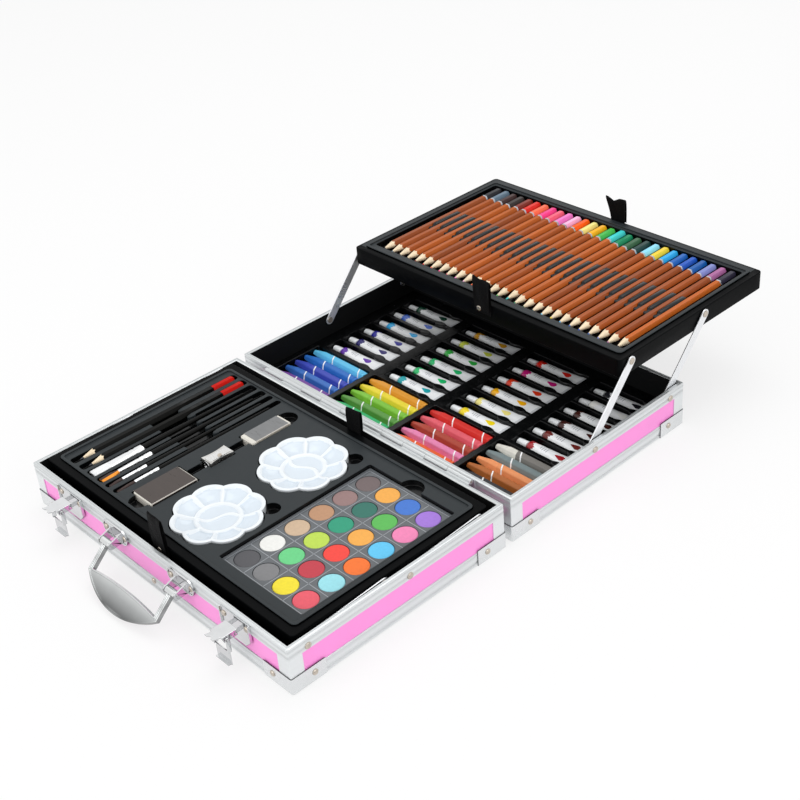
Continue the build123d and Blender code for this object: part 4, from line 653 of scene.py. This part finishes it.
centre = middle("oil_pastels")
pastels, sleeves = Mesher("pastel_sticks"), Mesher("pastel_wrappers")
for x, row in zip(COLUMN_X, PASTEL_ROWS):
    for k, tint in enumerate(row):
        y = centre.y + (k - 2.5) * PASTEL_PITCH
        put = placer((x + PASTEL_START, y, centre.z), ALONG_X, ALONG_Y)
        pastels.loft([hexagon(put, flats, t) for flats, t in STICK_STOPS], 0, faded(tint, 0.96, 0.015))
        paper = CHALK_SLEEVE if tint == PAINT["chalk"] else faded(tint, 0.9, 0.01)
        sleeves.loft([hexagon(put, PASTEL_FLATS + SLEEVE, t, lean) for t, lean in SLEEVE_STOPS], 0,
                     lambda i, j, paper=paper: WHITE if i in WHITE_BANDS else paper, caps=False)
pastels.make("pastel_wax", "oil_pastels", sharp=20)
sleeves.make("paper_sleeve", "pastel_sleeves", sharp=20)

# Paint tubes and their screw caps
TUBE_ROWS = rows("violet navy indigo azure cornflower forest", "teal mint mint leaf lime ochre",
                 "lemon cream amber scarlet cerise red", "crimson russet cocoa cocoa white black")
TUBE_PITCH, TUBE_FIRST, TUBE_START, TUBE_Z = 22.1, 101.5, -31.5, 13.4
BODY_START, BODY_END, TUBE_SIDES, CAP_RIBS = 15.0, 67.0, 40, 48
TUBE_FILM, TUBE_CRIMP_SHADE, TUBE_PRINT = linear(247, 249, 251), linear(216, 219, 223), linear(168, 172, 178)
DROP_AT, DROP_WIDTH, DROP_LENGTH, DROP_SIDES = 52, 3.4, 4.1, 28


def tube_section(t):
    """Half width and half height of a tube at a distance from its cap's end."""
    s = min(max((t - BODY_START) / (BODY_END - BODY_START), 0), 1)
    return 6.7 + 2.1 * s, 0.7 + 5.6 * (1 - s ** 1.6)


def rise(t):
    """How far a tube's middle has risen at a distance from its cap's end."""
    return 3.4 * min(max((t - BODY_START - 8) / (BODY_END - BODY_START - 8), 0), 1) ** 1.5


def tube_ring(put, t, phase, jag=0.0):
    """One ring of the flattening body. jag makes the colour band's edge uneven."""
    points = []
    for j in range(TUBE_SIDES):
        a = tau * j / TUBE_SIDES
        uneven = abs(((3 * a + phase) / pi) % 2 - 1) + 0.5 * sin(5 * a + phase) + (0.35 if j % 2 else 0)
        along = t + jag * uneven
        half_w, half_h = tube_section(along)
        points.append(put(half_w * cos(a), half_h * sin(a) + rise(along), along))
    return points


def on_tube(put, u, t):
    """A place just over the tube's upper side."""
    half_w, half_h = tube_section(t)
    return tuple(put(u, half_h * sqrt(max(1 - (u / half_w) ** 2, 0)) + 0.14 + rise(t), t))


def tube_body(mesh, put, tint, phase):
    """Shoulder, colour band, flattening body and folded end, whose greyer white is painted shade."""
    shoulder = [[put(x, y, t) for x, y in circle(r, TUBE_SIDES)]
                for r, t in ((2.6, 9.5), (2.6, 12), (3.2, 12.05), (4.6, 13.2), (5.7, 14.2), (6.1, 14.8))]
    band = [tube_ring(put, 15.2, phase), tube_ring(put, 18.0, phase), tube_ring(put, 18.6, phase, 4.0)]
    tail = [tube_ring(put, t, phase) for t in (26, 34, 42, 50, 58, 64, BODY_END)]
    crimp = [[put(x, 0.7 * y * (1 if t % 2 else 0.75) + rise(t), t)
              for x, y in [(8.8 * c, s) for c, s in circle(1, TUBE_SIDES)]] for t in (68, 69, 70, 71)]
    rings = shoulder + band + tail + crimp
    coloured, folded = range(2, len(shoulder) + 2), len(rings) - len(crimp) - 1
    # The folded crimp is painted a greyer white as shade.
    mesh.loft(rings, 0, lambda i, j: tint if i in coloured else (TUBE_CRIMP_SHADE if i >= folded else TUBE_FILM))


def tube_drop(mesh, put, tint):
    """A printed drop of the tube's colour."""
    start, n = len(mesh.points), DROP_SIDES
    mesh.points.append(on_tube(put, 0, DROP_AT))
    for share in (0.5, 1.0):
        for c, s in circle(1, n):
            point = max(0, -c)
            mesh.points.append(on_tube(put, DROP_WIDTH * s * (1 - 0.3 * point) * share,
                                       DROP_AT + DROP_LENGTH * c * (1 + 0.75 * point ** 3) * share))
    inner, outer = start + 1, start + 1 + n
    for j in range(n):
        after = (j + 1) % n
        mesh.face((start, inner + j, inner + after), 0, tint)
        mesh.face((inner + j, outer + j, outer + after, inner + after), 0, tint)


def tube_bars(mesh, put):
    """Short bars where the lettering would be."""
    for t, reach in ((28.0, 1.6), (30.4, 2.6), (32.8, 2.1), (35.2, 2.6)):
        start = len(mesh.points)
        for u in (-reach, -reach / 2, 0, reach / 2, reach):
            mesh.points += [on_tube(put, u, t), on_tube(put, u, t + 0.7)]
        for j in range(4):
            first = start + 2 * j
            mesh.face((first, first + 2, first + 3, first + 1), 0, TUBE_PRINT)


def tube_cap(mesh, put):
    """A ribbed screw cap, closed at its outer end."""
    rings = []
    for r, t in ((0.01, 0), (3.2, 0), (3.65, 0.4), (3.9, 3), (4.2, 9), (4.35, 11.6), (4.2, 12), (2.7, 12),
                 (2.7, 11)):
        rib = 0.1 if 0.4 < t < 11.6 else 0
        rings.append([put(x * (r + rib * (j % 2)), y * (r + rib * (j % 2)), t)
                      for j, (x, y) in enumerate(circle(1, CAP_RIBS))])
    mesh.loft(rings, caps=False)


tubes, caps = Mesher("tube_bodies"), Mesher("tube_screw_caps")
for x, row in zip(COLUMN_X, TUBE_ROWS):
    for k, tint in enumerate(row):
        put = placer((x + TUBE_START, half_y(1, TUBE_FIRST + TUBE_PITCH * k), TUBE_Z), ALONG_X, ALONG_Y)
        tube_body(tubes, put, tint, chance.random() * tau)
        tube_drop(tubes, put, tint)
        tube_bars(tubes, put)
        tube_cap(caps, put)
tubes.make("tube_film", "paint_tubes")
caps.make("screw_cap", "tube_caps", sharp=40)

# Brushes
# The dark tint is the small brushes' own hair colour and painted shade on the second brush; the gold tint is
# that brush's painted lit side.
SNOW, DARK_HAIR_AND_SHADE, LIT_GOLD_HAIR = linear(244, 245, 246), linear(46, 20, 12), linear(252, 152, 8)
# X, half sizes of the hair (width, height, height at the tip), lengths of the hair and of the ferrule, half
# sizes of the ferrule's front end, tints of the hair's left and right side, and the stick's radius. On the
# second brush the dark left side is painted shade and the gold right side a painted lit edge.
BRUSHES = ((-124.8, (5.3, 1.7, 1.4), 18, 36, (5.0, 1.7), SNOW, SNOW, 3.0),
           (-110.0, (4.4, 1.5, 0.9), 18, 36, (1.9, 1.9), DARK_HAIR_AND_SHADE, LIT_GOLD_HAIR, 3.0),
           (-97.7, (1.7, 1.7, 0.3), 14, 26, (1.8, 1.8), DARK_HAIR_AND_SHADE, DARK_HAIR_AND_SHADE, 2.2),
           (-85.4, (1.7, 1.7, 0.3), 19, 26, (1.8, 1.8), DARK_HAIR_AND_SHADE, DARK_HAIR_AND_SHADE, 2.2))
BRUSH_SIDES, FLAT_FROM, FLAT_POWER, STICK_END = 24, 3, 0.55, 1.3
# Share of the ferrule's length and depth of its grooves there
FERRULE_STOPS = ((0.45, 0), (0.6, 0), (0.62, 0.25), (0.65, 0.25), (0.67, 0), (0.75, 0), (0.77, 0.25),
                 (0.8, 0.25), (0.82, 0), (1.0, 0))
low, high = corners("brush_handles")
brush_z, brush_tip = low.z + 3.6, corners("brush_hair")[0].y
brush_end = high.y - brush_tip


def oval(put, a, b, t, power=1.0):
    """An oval ring, squarer with a lower power."""
    points = []
    for c, s in circle(1, BRUSH_SIDES):
        x, y = abs(c) ** power * (1 if c > 0 else -1), abs(s) ** power * (1 if s > 0 else -1)
        points.append(put(a * x, b * y, t))
    return points


hair, ferrules, sticks = Mesher("brush_bristles"), Mesher("brush_metal"), Mesher("brush_sticks")
left_side = range(BRUSH_SIDES // 4, 3 * BRUSH_SIDES // 4)
for x, (wide, tall, tip), hair_length, metal_length, (a, b), left, right, grip in BRUSHES:
    put = placer((x, brush_tip, brush_z))
    flat = wide > FLAT_FROM
    power = FLAT_POWER if flat else 1.0
    # On the second brush the hair's left side is painted dark as shade and its right side gold as lit.
    hair.loft([oval(put, wide * (0.97 if flat else 0.12), tip * 0.6, 0, power),
               oval(put, wide, tip, 1.0, power), oval(put, wide, tall, hair_length * 0.6, power),
               oval(put, a * 0.97, b * 0.95, hair_length + 0.5, power)], 0,
              lambda i, j, left=left, right=right: left if j in left_side else right)
    end = max(a * 0.98, grip) if left is SNOW else grip
    rings = [oval(put, a, b, hair_length, power), oval(put, a * 1.02, b * 1.02, hair_length + 0.6, power)]
    for share, depth in FERRULE_STOPS:
        rings.append(oval(put, a + (end - a) * share - depth, b + (grip - b) * share - depth,
                          hair_length + metal_length * share, power + (1 - power) * share))
    ferrules.loft(rings)
    start = hair_length + metal_length
    rings = [oval(put, grip * 0.96, grip * 0.96, start - 0.5), oval(put, grip, grip, start + 4),
             oval(put, grip * 1.05, grip, start + 22)]
    for share in (0.4, 0.6, 0.8, 0.93, 0.985, 1.0):
        r = (grip + (STICK_END - grip) * share) * (1 if share < 1 else 0.4)
        rings.append(oval(put, r, r, start + 22 + (brush_end - start - 22) * share))
    sticks.loft(rings)
hair.make("brush_hair", "brush_hair")
ferrules.make("ferrule", "brush_ferrules")
sticks.make("black_lacquer", "brush_handles")

# Erasers in their wraps
PALE, BROWN, STEEL = linear(200, 194, 186), linear(66, 57, 53), linear(122, 123, 124)
BROWN_SIDE, STEEL_SIDE = linear(46, 40, 38), linear(178, 172, 160)


def slab(mesh, centre, half, ends, chamfer, top, edge, side):
    """A bar along Y with chamfered long edges, from (y, growth) stops and three tints."""
    rings = []
    for y, grow in ends:
        a, b, c = half[0] + grow, half[1] + grow, chamfer
        rings.append([(centre[0] + u, y, centre[1] + v) for u, v in (
            (a, -b + c), (a, b - c), (a - c, b), (-a + c, b), (-a, b - c), (-a, -b + c), (-a + c, -b),
            (a - c, -b))])
    shades = (side, edge, top, edge, side, side, side, side)
    mesh.loft(rings, 0, lambda i, j: shades[j])


blocks, wraps = Mesher("eraser_blocks"), Mesher("eraser_wraps")
low, high = corners("erasers")
centre, half_z = ((low.x + high.x) / 2, (low.z + high.z) / 2), (high.z - low.z) / 2
for half_x, start, end, bare_start, bare_end, body_tint, side_tint in (
        (14.6, low.y, low.y + 50, 1.0, 1.6, BROWN, BROWN_SIDE),
        (9.6, high.y - 46, high.y, 4.5, 3.0, STEEL, STEEL_SIDE)):
    slab(blocks, centre, (half_x, half_z), ((start, -1.2), (start + 1.2, 0), (end - 1.2, 0), (end, -1.2)),
         0.8, WHITE, WHITE, WHITE)
    first, last = start + bare_start, end - bare_end
    slab(wraps, centre, (half_x + 0.05, half_z + 0.05),
         ((first, 0), (first + 0.05, 0.33), (first + 0.7, 0.35), (last - 0.7, 0.35), (last - 0.05, 0.33),
          (last, 0)), 0.7, body_tint, PALE, side_tint)
blocks.make("eraser_rubber", "erasers", sharp=25)
wraps.make("eraser_wrap", "eraser_sleeves", sharp=25)

# Sharpener, with the rolled mouth of its pencil hole
soften("sharpener_wedge", "sharpener_body", "milled_metal", 0.3)
soften("sharpener_edge", "sharpener_blade", "blade_steel", 0.08)
soften("sharpener_fixing", "sharpener_screw", "rivet_metal", 0.15)
low, high = corners("sharpener_body")
mouth = Mesher("sharpener_mouth")
lathe(mouth, placer(((low.x + high.x) / 2, low.y - 0.35, low.z + (high.z - low.z) * 0.47)),
      [(3.3, 4.0), (3.5, 0.4), (3.7, 0.0), (4.3, 0.0), (4.5, 0.4), (4.5, 0.9)], 28)
mouth.make("chrome", "sharpener_body", sharp=40, replaces=False)

# Rounded noses of the bars between the brush slots, past the finger trough
NOSE_Y, NOSE_LENGTH, NOSE_ROOT, NOSE_STEPS = -143.2, 5.0, 3.0, 12
top = corners("tool_tray_insert")[1].z - 1.5
noses = Mesher("slot_noses")
for x, wide in ((-147.2, 2.6), (-132.3, 2.4), (-117.4, 2.0), (-103.8, 2.0), (-91.5, 2.6)):
    rings = []
    for below, grow in ((5.8, 0), (1.0, 0), (0.35, -0.25), (0.02, -0.9)):
        a, b = wide + grow, NOSE_LENGTH + grow
        arc = [(a * cos(pi * k / NOSE_STEPS), -b * sin(pi * k / NOSE_STEPS)) for k in range(NOSE_STEPS + 1)]
        rings.append([(x + u, NOSE_Y + v, top - below) for u, v in [(a, NOSE_ROOT), *arc, (-a, NOSE_ROOT)]])
    noses.loft(rings)
noses.make("formed_sheet", "tool_tray_insert", sharp=60, replaces=False)

# Palettes: a dished flower with eight petal wells and a round middle with two wells
PALETTE_X, PALETTE_REACH, LOBE_R, MIDDLE_R, RIM_FLAT = 10.4, 42.2, 18.0, 19.6, 2.6
PALETTE_PLACES = ((-219.5, radians(45)), (-124.3, 0.0))
DISH, PETAL_WELL, PETAL_HOLLOW, MIDDLE_WELL, SWIRL = 4.6, 2.3, 0.9, 1.5, 4.4
PALETTE_SIDES, PETAL_RINGS, MIDDLE_RINGS = 192, 38, 25


def petal_reach(a):
    """Outline radius of the flower in a direction."""
    d = radians((degrees(a) % 45) - 22.5)
    inner = PALETTE_REACH - LOBE_R
    return inner * cos(d) + sqrt(LOBE_R ** 2 - (inner * sin(d)) ** 2)


def dish(r, a, swirl):
    """Height under the rim, and how far into a well, at a place in the flower."""
    edge = petal_reach(a) - RIM_FLAT
    if r >= edge:
        return 0.0, 0.0
    if r > MIDDLE_R:
        slope = DISH * ease((edge - r) / (edge - MIDDLE_R)) ** 0.8
        spoke = r * abs(sin(radians(((degrees(a) + 22.5) % 45) - 22.5)))
        away = min(spoke - 0.7, r - MIDDLE_R - 0.9, edge - r - 0.2)
        inside = ease(away / 2.6)
        return -slope - PETAL_WELL * inside - PETAL_HOLLOW * ease((away - 2.0) / 6), inside
    x, y = r * cos(a - swirl), r * sin(a - swirl)
    divider = abs(y - SWIRL * sin(pi * x / MIDDLE_R)) * 0.8
    inside = ease(min(divider - 0.5, MIDDLE_R - r - 0.6) / 2.2)
    return -DISH - MIDDLE_WELL * inside, inside


palettes = Mesher("palettes")
low, high = corners("flower_palettes")
outline = [(x, y, petal_reach(tau * j / PALETTE_SIDES)) for j, (x, y) in enumerate(circle(1, PALETTE_SIDES))]
for centre_y, swirl in PALETTE_PLACES:
    rings, wells = [], []
    for share, z in ((0.965, low.z + 0.8), (0.97, low.z), (0.99, low.z + 0.2), (0.998, high.z - 0.7),
                     (1.0, high.z - 0.35), (0.994, high.z - 0.08), (0.985, high.z)):
        rings.append([(PALETTE_X + x * r * share, centre_y + y * r * share, z) for x, y, r in outline])
        wells.append([0.0] * PALETTE_SIDES)
    for i in range(PETAL_RINGS + MIDDLE_RINGS + 1):
        ring, well = [], []
        for j, (x, y, reach) in enumerate(outline):
            outer = reach * 0.985 - 0.25
            r = (outer + (MIDDLE_R - outer) * i / PETAL_RINGS if i < PETAL_RINGS else
                 max(MIDDLE_R * (1 - (i - PETAL_RINGS) / MIDDLE_RINGS), 0.02))
            drop, inside = dish(r, tau * j / PALETTE_SIDES, swirl)
            ring.append((PALETTE_X + r * x, centre_y + r * y, high.z + drop))
            well.append(inside)
        rings.append(ring)
        wells.append(well)
    # Faces deep in a well get the darker white, as painted shade.
    palettes.loft(rings, lambda i, j, wells=wells: int(wells[i][j] > 0.6))
palettes.make("white_moulding white_well", "flower_palettes", sharp=70)

# Colour box, with thin walls between its cells, and its pans
PAN_COLUMNS = rows("smoke white sand tan taupe stone", "ash fresh chartreuse jade spruce apricot",
                   "sun brick tomato apricot grass lake", "salmon ice carrot cyan pink purple")
PAN_PROFILE = [(0, 0), (PAN_R - 0.2, 0), (PAN_R, 0.3), (PAN_R, 3.6), (PAN_R - 0.2, 4.0), (PAN_R - 0.7, 4.18),
               (PAN_R - 1.6, 4.1), (6, 4.0), (0, 3.98)]
WALL_WIDTH, WALL_TOP_SHARE, WALL_FOOT, WALL_RISE = 1.5, 0.45, -1.55, 0.4
soften("colour_tray", "colour_box", "smoked_plastic", 0.3)
centre = middle("colour_pans")
low, high = corners("colour_pans")
pitch_x, pitch_y = (high.x - low.x - 2 * PAN_R) / 3, (high.y - low.y - 2 * PAN_R) / 5


def cell_wall(mesh, start, end):
    """A thin ridge with sloping sides between two places."""
    along = (end - start).normalized()
    side = Vector((-along.y, along.x, 0)) * WALL_WIDTH / 2
    foot, rise_top = Vector((0, 0, high.z + WALL_FOOT)), Vector((0, 0, high.z + WALL_RISE))
    mesh.loft([[p - side + foot, p - side * WALL_TOP_SHARE + rise_top, p + side * WALL_TOP_SHARE + rise_top,
                p + side + foot] for p in (start, end)])


grid = Mesher("cell_walls")
for k in (-2, -1, 0, 1, 2):
    x = centre.x + k * pitch_x
    cell_wall(grid, Vector((x, centre.y - 3 * pitch_y, 0)), Vector((x, centre.y + 3 * pitch_y, 0)))
for k in (-3, -2, -1, 0, 1, 2, 3):
    y = centre.y + k * pitch_y
    cell_wall(grid, Vector((centre.x - 2 * pitch_x, y, 0)), Vector((centre.x + 2 * pitch_x, y, 0)))
grid.make("cell_walls", "colour_box", sharp=20, replaces=False)
pans = Mesher("pans")
for column, row_tints in enumerate(PAN_COLUMNS):
    for row, tint in enumerate(row_tints):
        x, y = centre.x + (column - 1.5) * pitch_x, centre.y + (row - 2.5) * pitch_y
        lathe(pans, placer((x, y, centre.z - 2.1), ALONG_Z), PAN_PROFILE, 40, faded(tint, 0.9, 0.02))
pans.make("dry_colour", "colour_pans")

# Pull tabs: folded straps of ribbon on the trays' walls, each with its stud
# Tray and side, x, width, height over the CAD's tab, lean, slant and notch of the upper edge, share of the
# height where the strap ends, and flare of its left edge
TABS = (("pencil", "near", 10.0, 19.5, 3.5, 1.0, -2.0, 1.2, 0.12, 3.0),
        ("pencil", "far", -1.0, 17.5, 1.0, -1.0, 1.5, 4.0, 0.35, 8.0),
        ("tool", "near", 7.0, 19.0, 0.0, 0.5, 2.0, 0.0, 0.12, 0.0),
        ("tool", "far", 6.0, 18.0, 5.5, -1.0, -1.0, 0.0, 0.15, 0.0))
RIBBON, RIBBON_STEPS, TAB_MOST_OUT, TAB_LEAST_OUT, WALL_INSET = 0.55, 10, 3.95, 0.05, 4
STUD_X, STUD_Z, STUD_OUT = 6.0, 6.0, 3.3
STUD_PROFILE = [(2.7, -0.5), (2.7, 0.1), (2.4, 0.4), (1.6, 0.58), (0.8, 0.4), (0, 0.36)]


def strap_path(end):
    """(Distance out, share of the height) up one side, over the top and down the other."""
    reach = [(0.35, 0.0), (0.35, 0.35), (0.4, 0.7), (0.55, 0.86), (0.95, 0.96), (1.8, 1.0), (2.7, 0.97),
             (3.2, 0.88), (3.45, 0.72), (3.5, 0.5), (3.3, 0.3), (3.0, end)]
    path = []
    for (o0, h0), (o1, h1) in zip(reach, reach[1:]):
        path += [(o0 + (o1 - o0) * k / 3, h0 + (h1 - h0) * k / 3) for k in range(3)]
    return path + [reach[-1]]


def tab(tray, side, x, width, over, lean, slant, notch, end, flare):
    """One strap and its stud, on the near or far wall of a tray."""
    name, source = f"{tray}_{side}_tab", f"{tray}_tray_tabs"
    low, high = corners(source)
    foot, tall = low.z, high.z + over - low.z
    out = -1 if (tray == "pencil") == (side == "near") else 1
    wall_y = low.y + WALL_INSET if out < 0 else high.y - WALL_INSET
    path, rings, length = strap_path(end), [], 0.0
    for k, (o, h) in enumerate(path):
        before, after = path[max(k - 1, 0)], path[min(k + 1, len(path) - 1)]
        run = Vector((after[0] - before[0], (after[1] - before[1]) * tall)).normalized()
        if k:
            length += hypot(o - path[k - 1][0], (h - path[k - 1][1]) * tall)
        ring = []
        for face in (1, -1):
            for j in range(RIBBON_STEPS + 1)[::face]:
                u = j / RIBBON_STEPS
                dip = slant * (u - 0.5) - notch * max(0.0, 1 - abs(u - 0.4) * 3.2)
                wave = 0.22 * sin(3 * pi * u + 5 * h) * ease(h * 2)
                off = o - run.y * RIBBON / 2 * face + wave
                up = h * tall + dip * ease((h - 0.4) / 0.6) + run.x * RIBBON / 2 * face
                along = (u - 0.5) * width + (lean - flare * (1 - u)) * h * h
                ring.append((x + along, wall_y + out * min(max(off, TAB_LEAST_OUT), TAB_MOST_OUT), foot + up))
        rings.append(ring)
    mesh = Mesher(name)
    mesh.loft(rings)
    piece = mesh.make("black_ribbon", source, replaces=side == "near")
    stud = Mesher(f"{name}_stud")
    lathe(stud, placer((STUD_X, wall_y + out * STUD_OUT, foot + STUD_Z), (0, out, 0)), STUD_PROFILE, 20)
    held = [stud.make("rivet_metal", f"{tray}_tray_rivets", sharp=60, replaces=False)]
    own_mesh(piece)


for row in TABS:
    tab(*row)

# Handle, lugs and latches
soften("grip", "carry_handle", "polished_grip", 0.45, 3)
soften("grip_lugs", "handle_lugs", "chrome", 0.3)
soften("latch_plates", "latch_bases", "chrome", 0.25)
for hand in ("left", "right"):
    soften(f"{hand}_lever", f"latch_lever_{hand}", "chrome", 0.25)
    soften(f"{hand}_hook", f"latch_hook_{hand}", "chrome", 0.2, merge=False)


# Ground and world. Sizes and places are in metres from here on.
FLOOR_HALF, FLOOR_DROP, FLOOR_GREY, WORLD_GREY = 4.0, 0.0002, 0.9, 0.78


def white_for_camera(tree, shader, white, strength, output):
    """Mixes a shader with plain white for camera, glossy and transmission rays."""
    path = node(tree, "LightPath")
    seen = path.outputs["Is Camera Ray"]
    for operation, other in (("MAXIMUM", path.outputs["Is Glossy Ray"]),
                             ("MAXIMUM", path.outputs["Is Transmission Ray"]), ("MULTIPLY", strength)):
        step = node(tree, "Math", operation=operation)
        feed(tree, step.inputs[0], seen)
        feed(tree, step.inputs[1], other)
        seen = step.outputs["Value"]
    mix = node(tree, "MixShader", Fac=seen)
    feed(tree, mix.inputs[1], shader)
    feed(tree, mix.inputs[2], white)
    feed(tree, tree.nodes[output].inputs["Surface"], mix.outputs["Shader"])


floor_mesh = bpy.data.meshes.new("floor")
floor_mesh.from_pydata([(FLOOR_HALF * x, FLOOR_HALF * y, 0) for x, y in ((-1, -1), (1, -1), (1, 1), (-1, 1))],
                       [], [(0, 1, 2, 3)])
floor = put_in_scene("floor", floor_mesh)
floor.location.z = -FLOOR_DROP
paper = bpy.data.materials.new("white_sweep")
paper.use_nodes = True
tree = paper.node_tree
base = tree.nodes["Principled BSDF"]
base.inputs["Base Color"].default_value = (FLOOR_GREY, FLOOR_GREY, FLOOR_GREY, 1)
base.inputs["Roughness"].default_value = 0.9
glow = node(tree, "Emission", Color=(1, 1, 1, 1), Strength=1.0)
white_for_camera(tree, base.outputs["BSDF"], glow.outputs["Emission"], 0.72, "Material Output")
floor_mesh.materials.append(paper)

world = bpy.data.worlds.new("studio")
bpy.context.scene.world = world
world.use_nodes = True
tree = world.node_tree
dim = tree.nodes["Background"]
dim.inputs["Color"].default_value = (1, 1, 1, 1)
dim.inputs["Strength"].default_value = WORLD_GREY
bright = node(tree, "Background", Color=(1, 1, 1, 1), Strength=1.0)
white_for_camera(tree, dim.outputs["Background"], bright.outputs["Background"], 1.0, "World Output")


# Lamps and camera
def lamp(name, place, size, power):
    """An area light that looks at the origin."""
    data = bpy.data.lights.new(name, "AREA")
    data.shape, data.energy = "RECTANGLE", power
    data.size, data.size_y = size
    made = put_in_scene(name, data)
    made.location = place
    made.rotation_euler = (-Vector(place)).to_track_quat("-Z", "Y").to_euler()


lamp("key", (-0.3, 0.5, 1.9), (1.6, 1.2), 9)
lamp("fill", (1.9, -0.1, 1.0), (1.4, 1.2), 8)
lamp("front", (-0.2, -2.0, 0.9), (1.6, 1.0), 9)

CAMERA_PLACE = (0.8334, -0.709439, 0.7635)
camera_data = bpy.data.cameras.new("camera")
camera = put_in_scene("camera", camera_data)
turn, tilt, roll = radians(49.7807), radians(33.497), radians(-5.3281)
back = Vector((sin(turn) * cos(tilt), -cos(turn) * cos(tilt), sin(tilt)))
right = Vector((0, 0, 1)).cross(back).normalized()
up = back.cross(right)
axis_x, axis_y = right * cos(roll) + up * sin(roll), up * cos(roll) - right * sin(roll)
camera.matrix_world = Matrix.Translation(CAMERA_PLACE) @ Matrix((axis_x, axis_y, back)).transposed().to_4x4()
camera_data.lens, camera_data.sensor_width = 62.27, 36.0
camera_data.shift_x, camera_data.shift_y = 0.00884, 0.01025
camera_data.clip_start, camera_data.clip_end = 0.05, 20.0
bpy.context.scene.camera = camera
bpy.context.scene.view_settings.view_transform = "Standard"
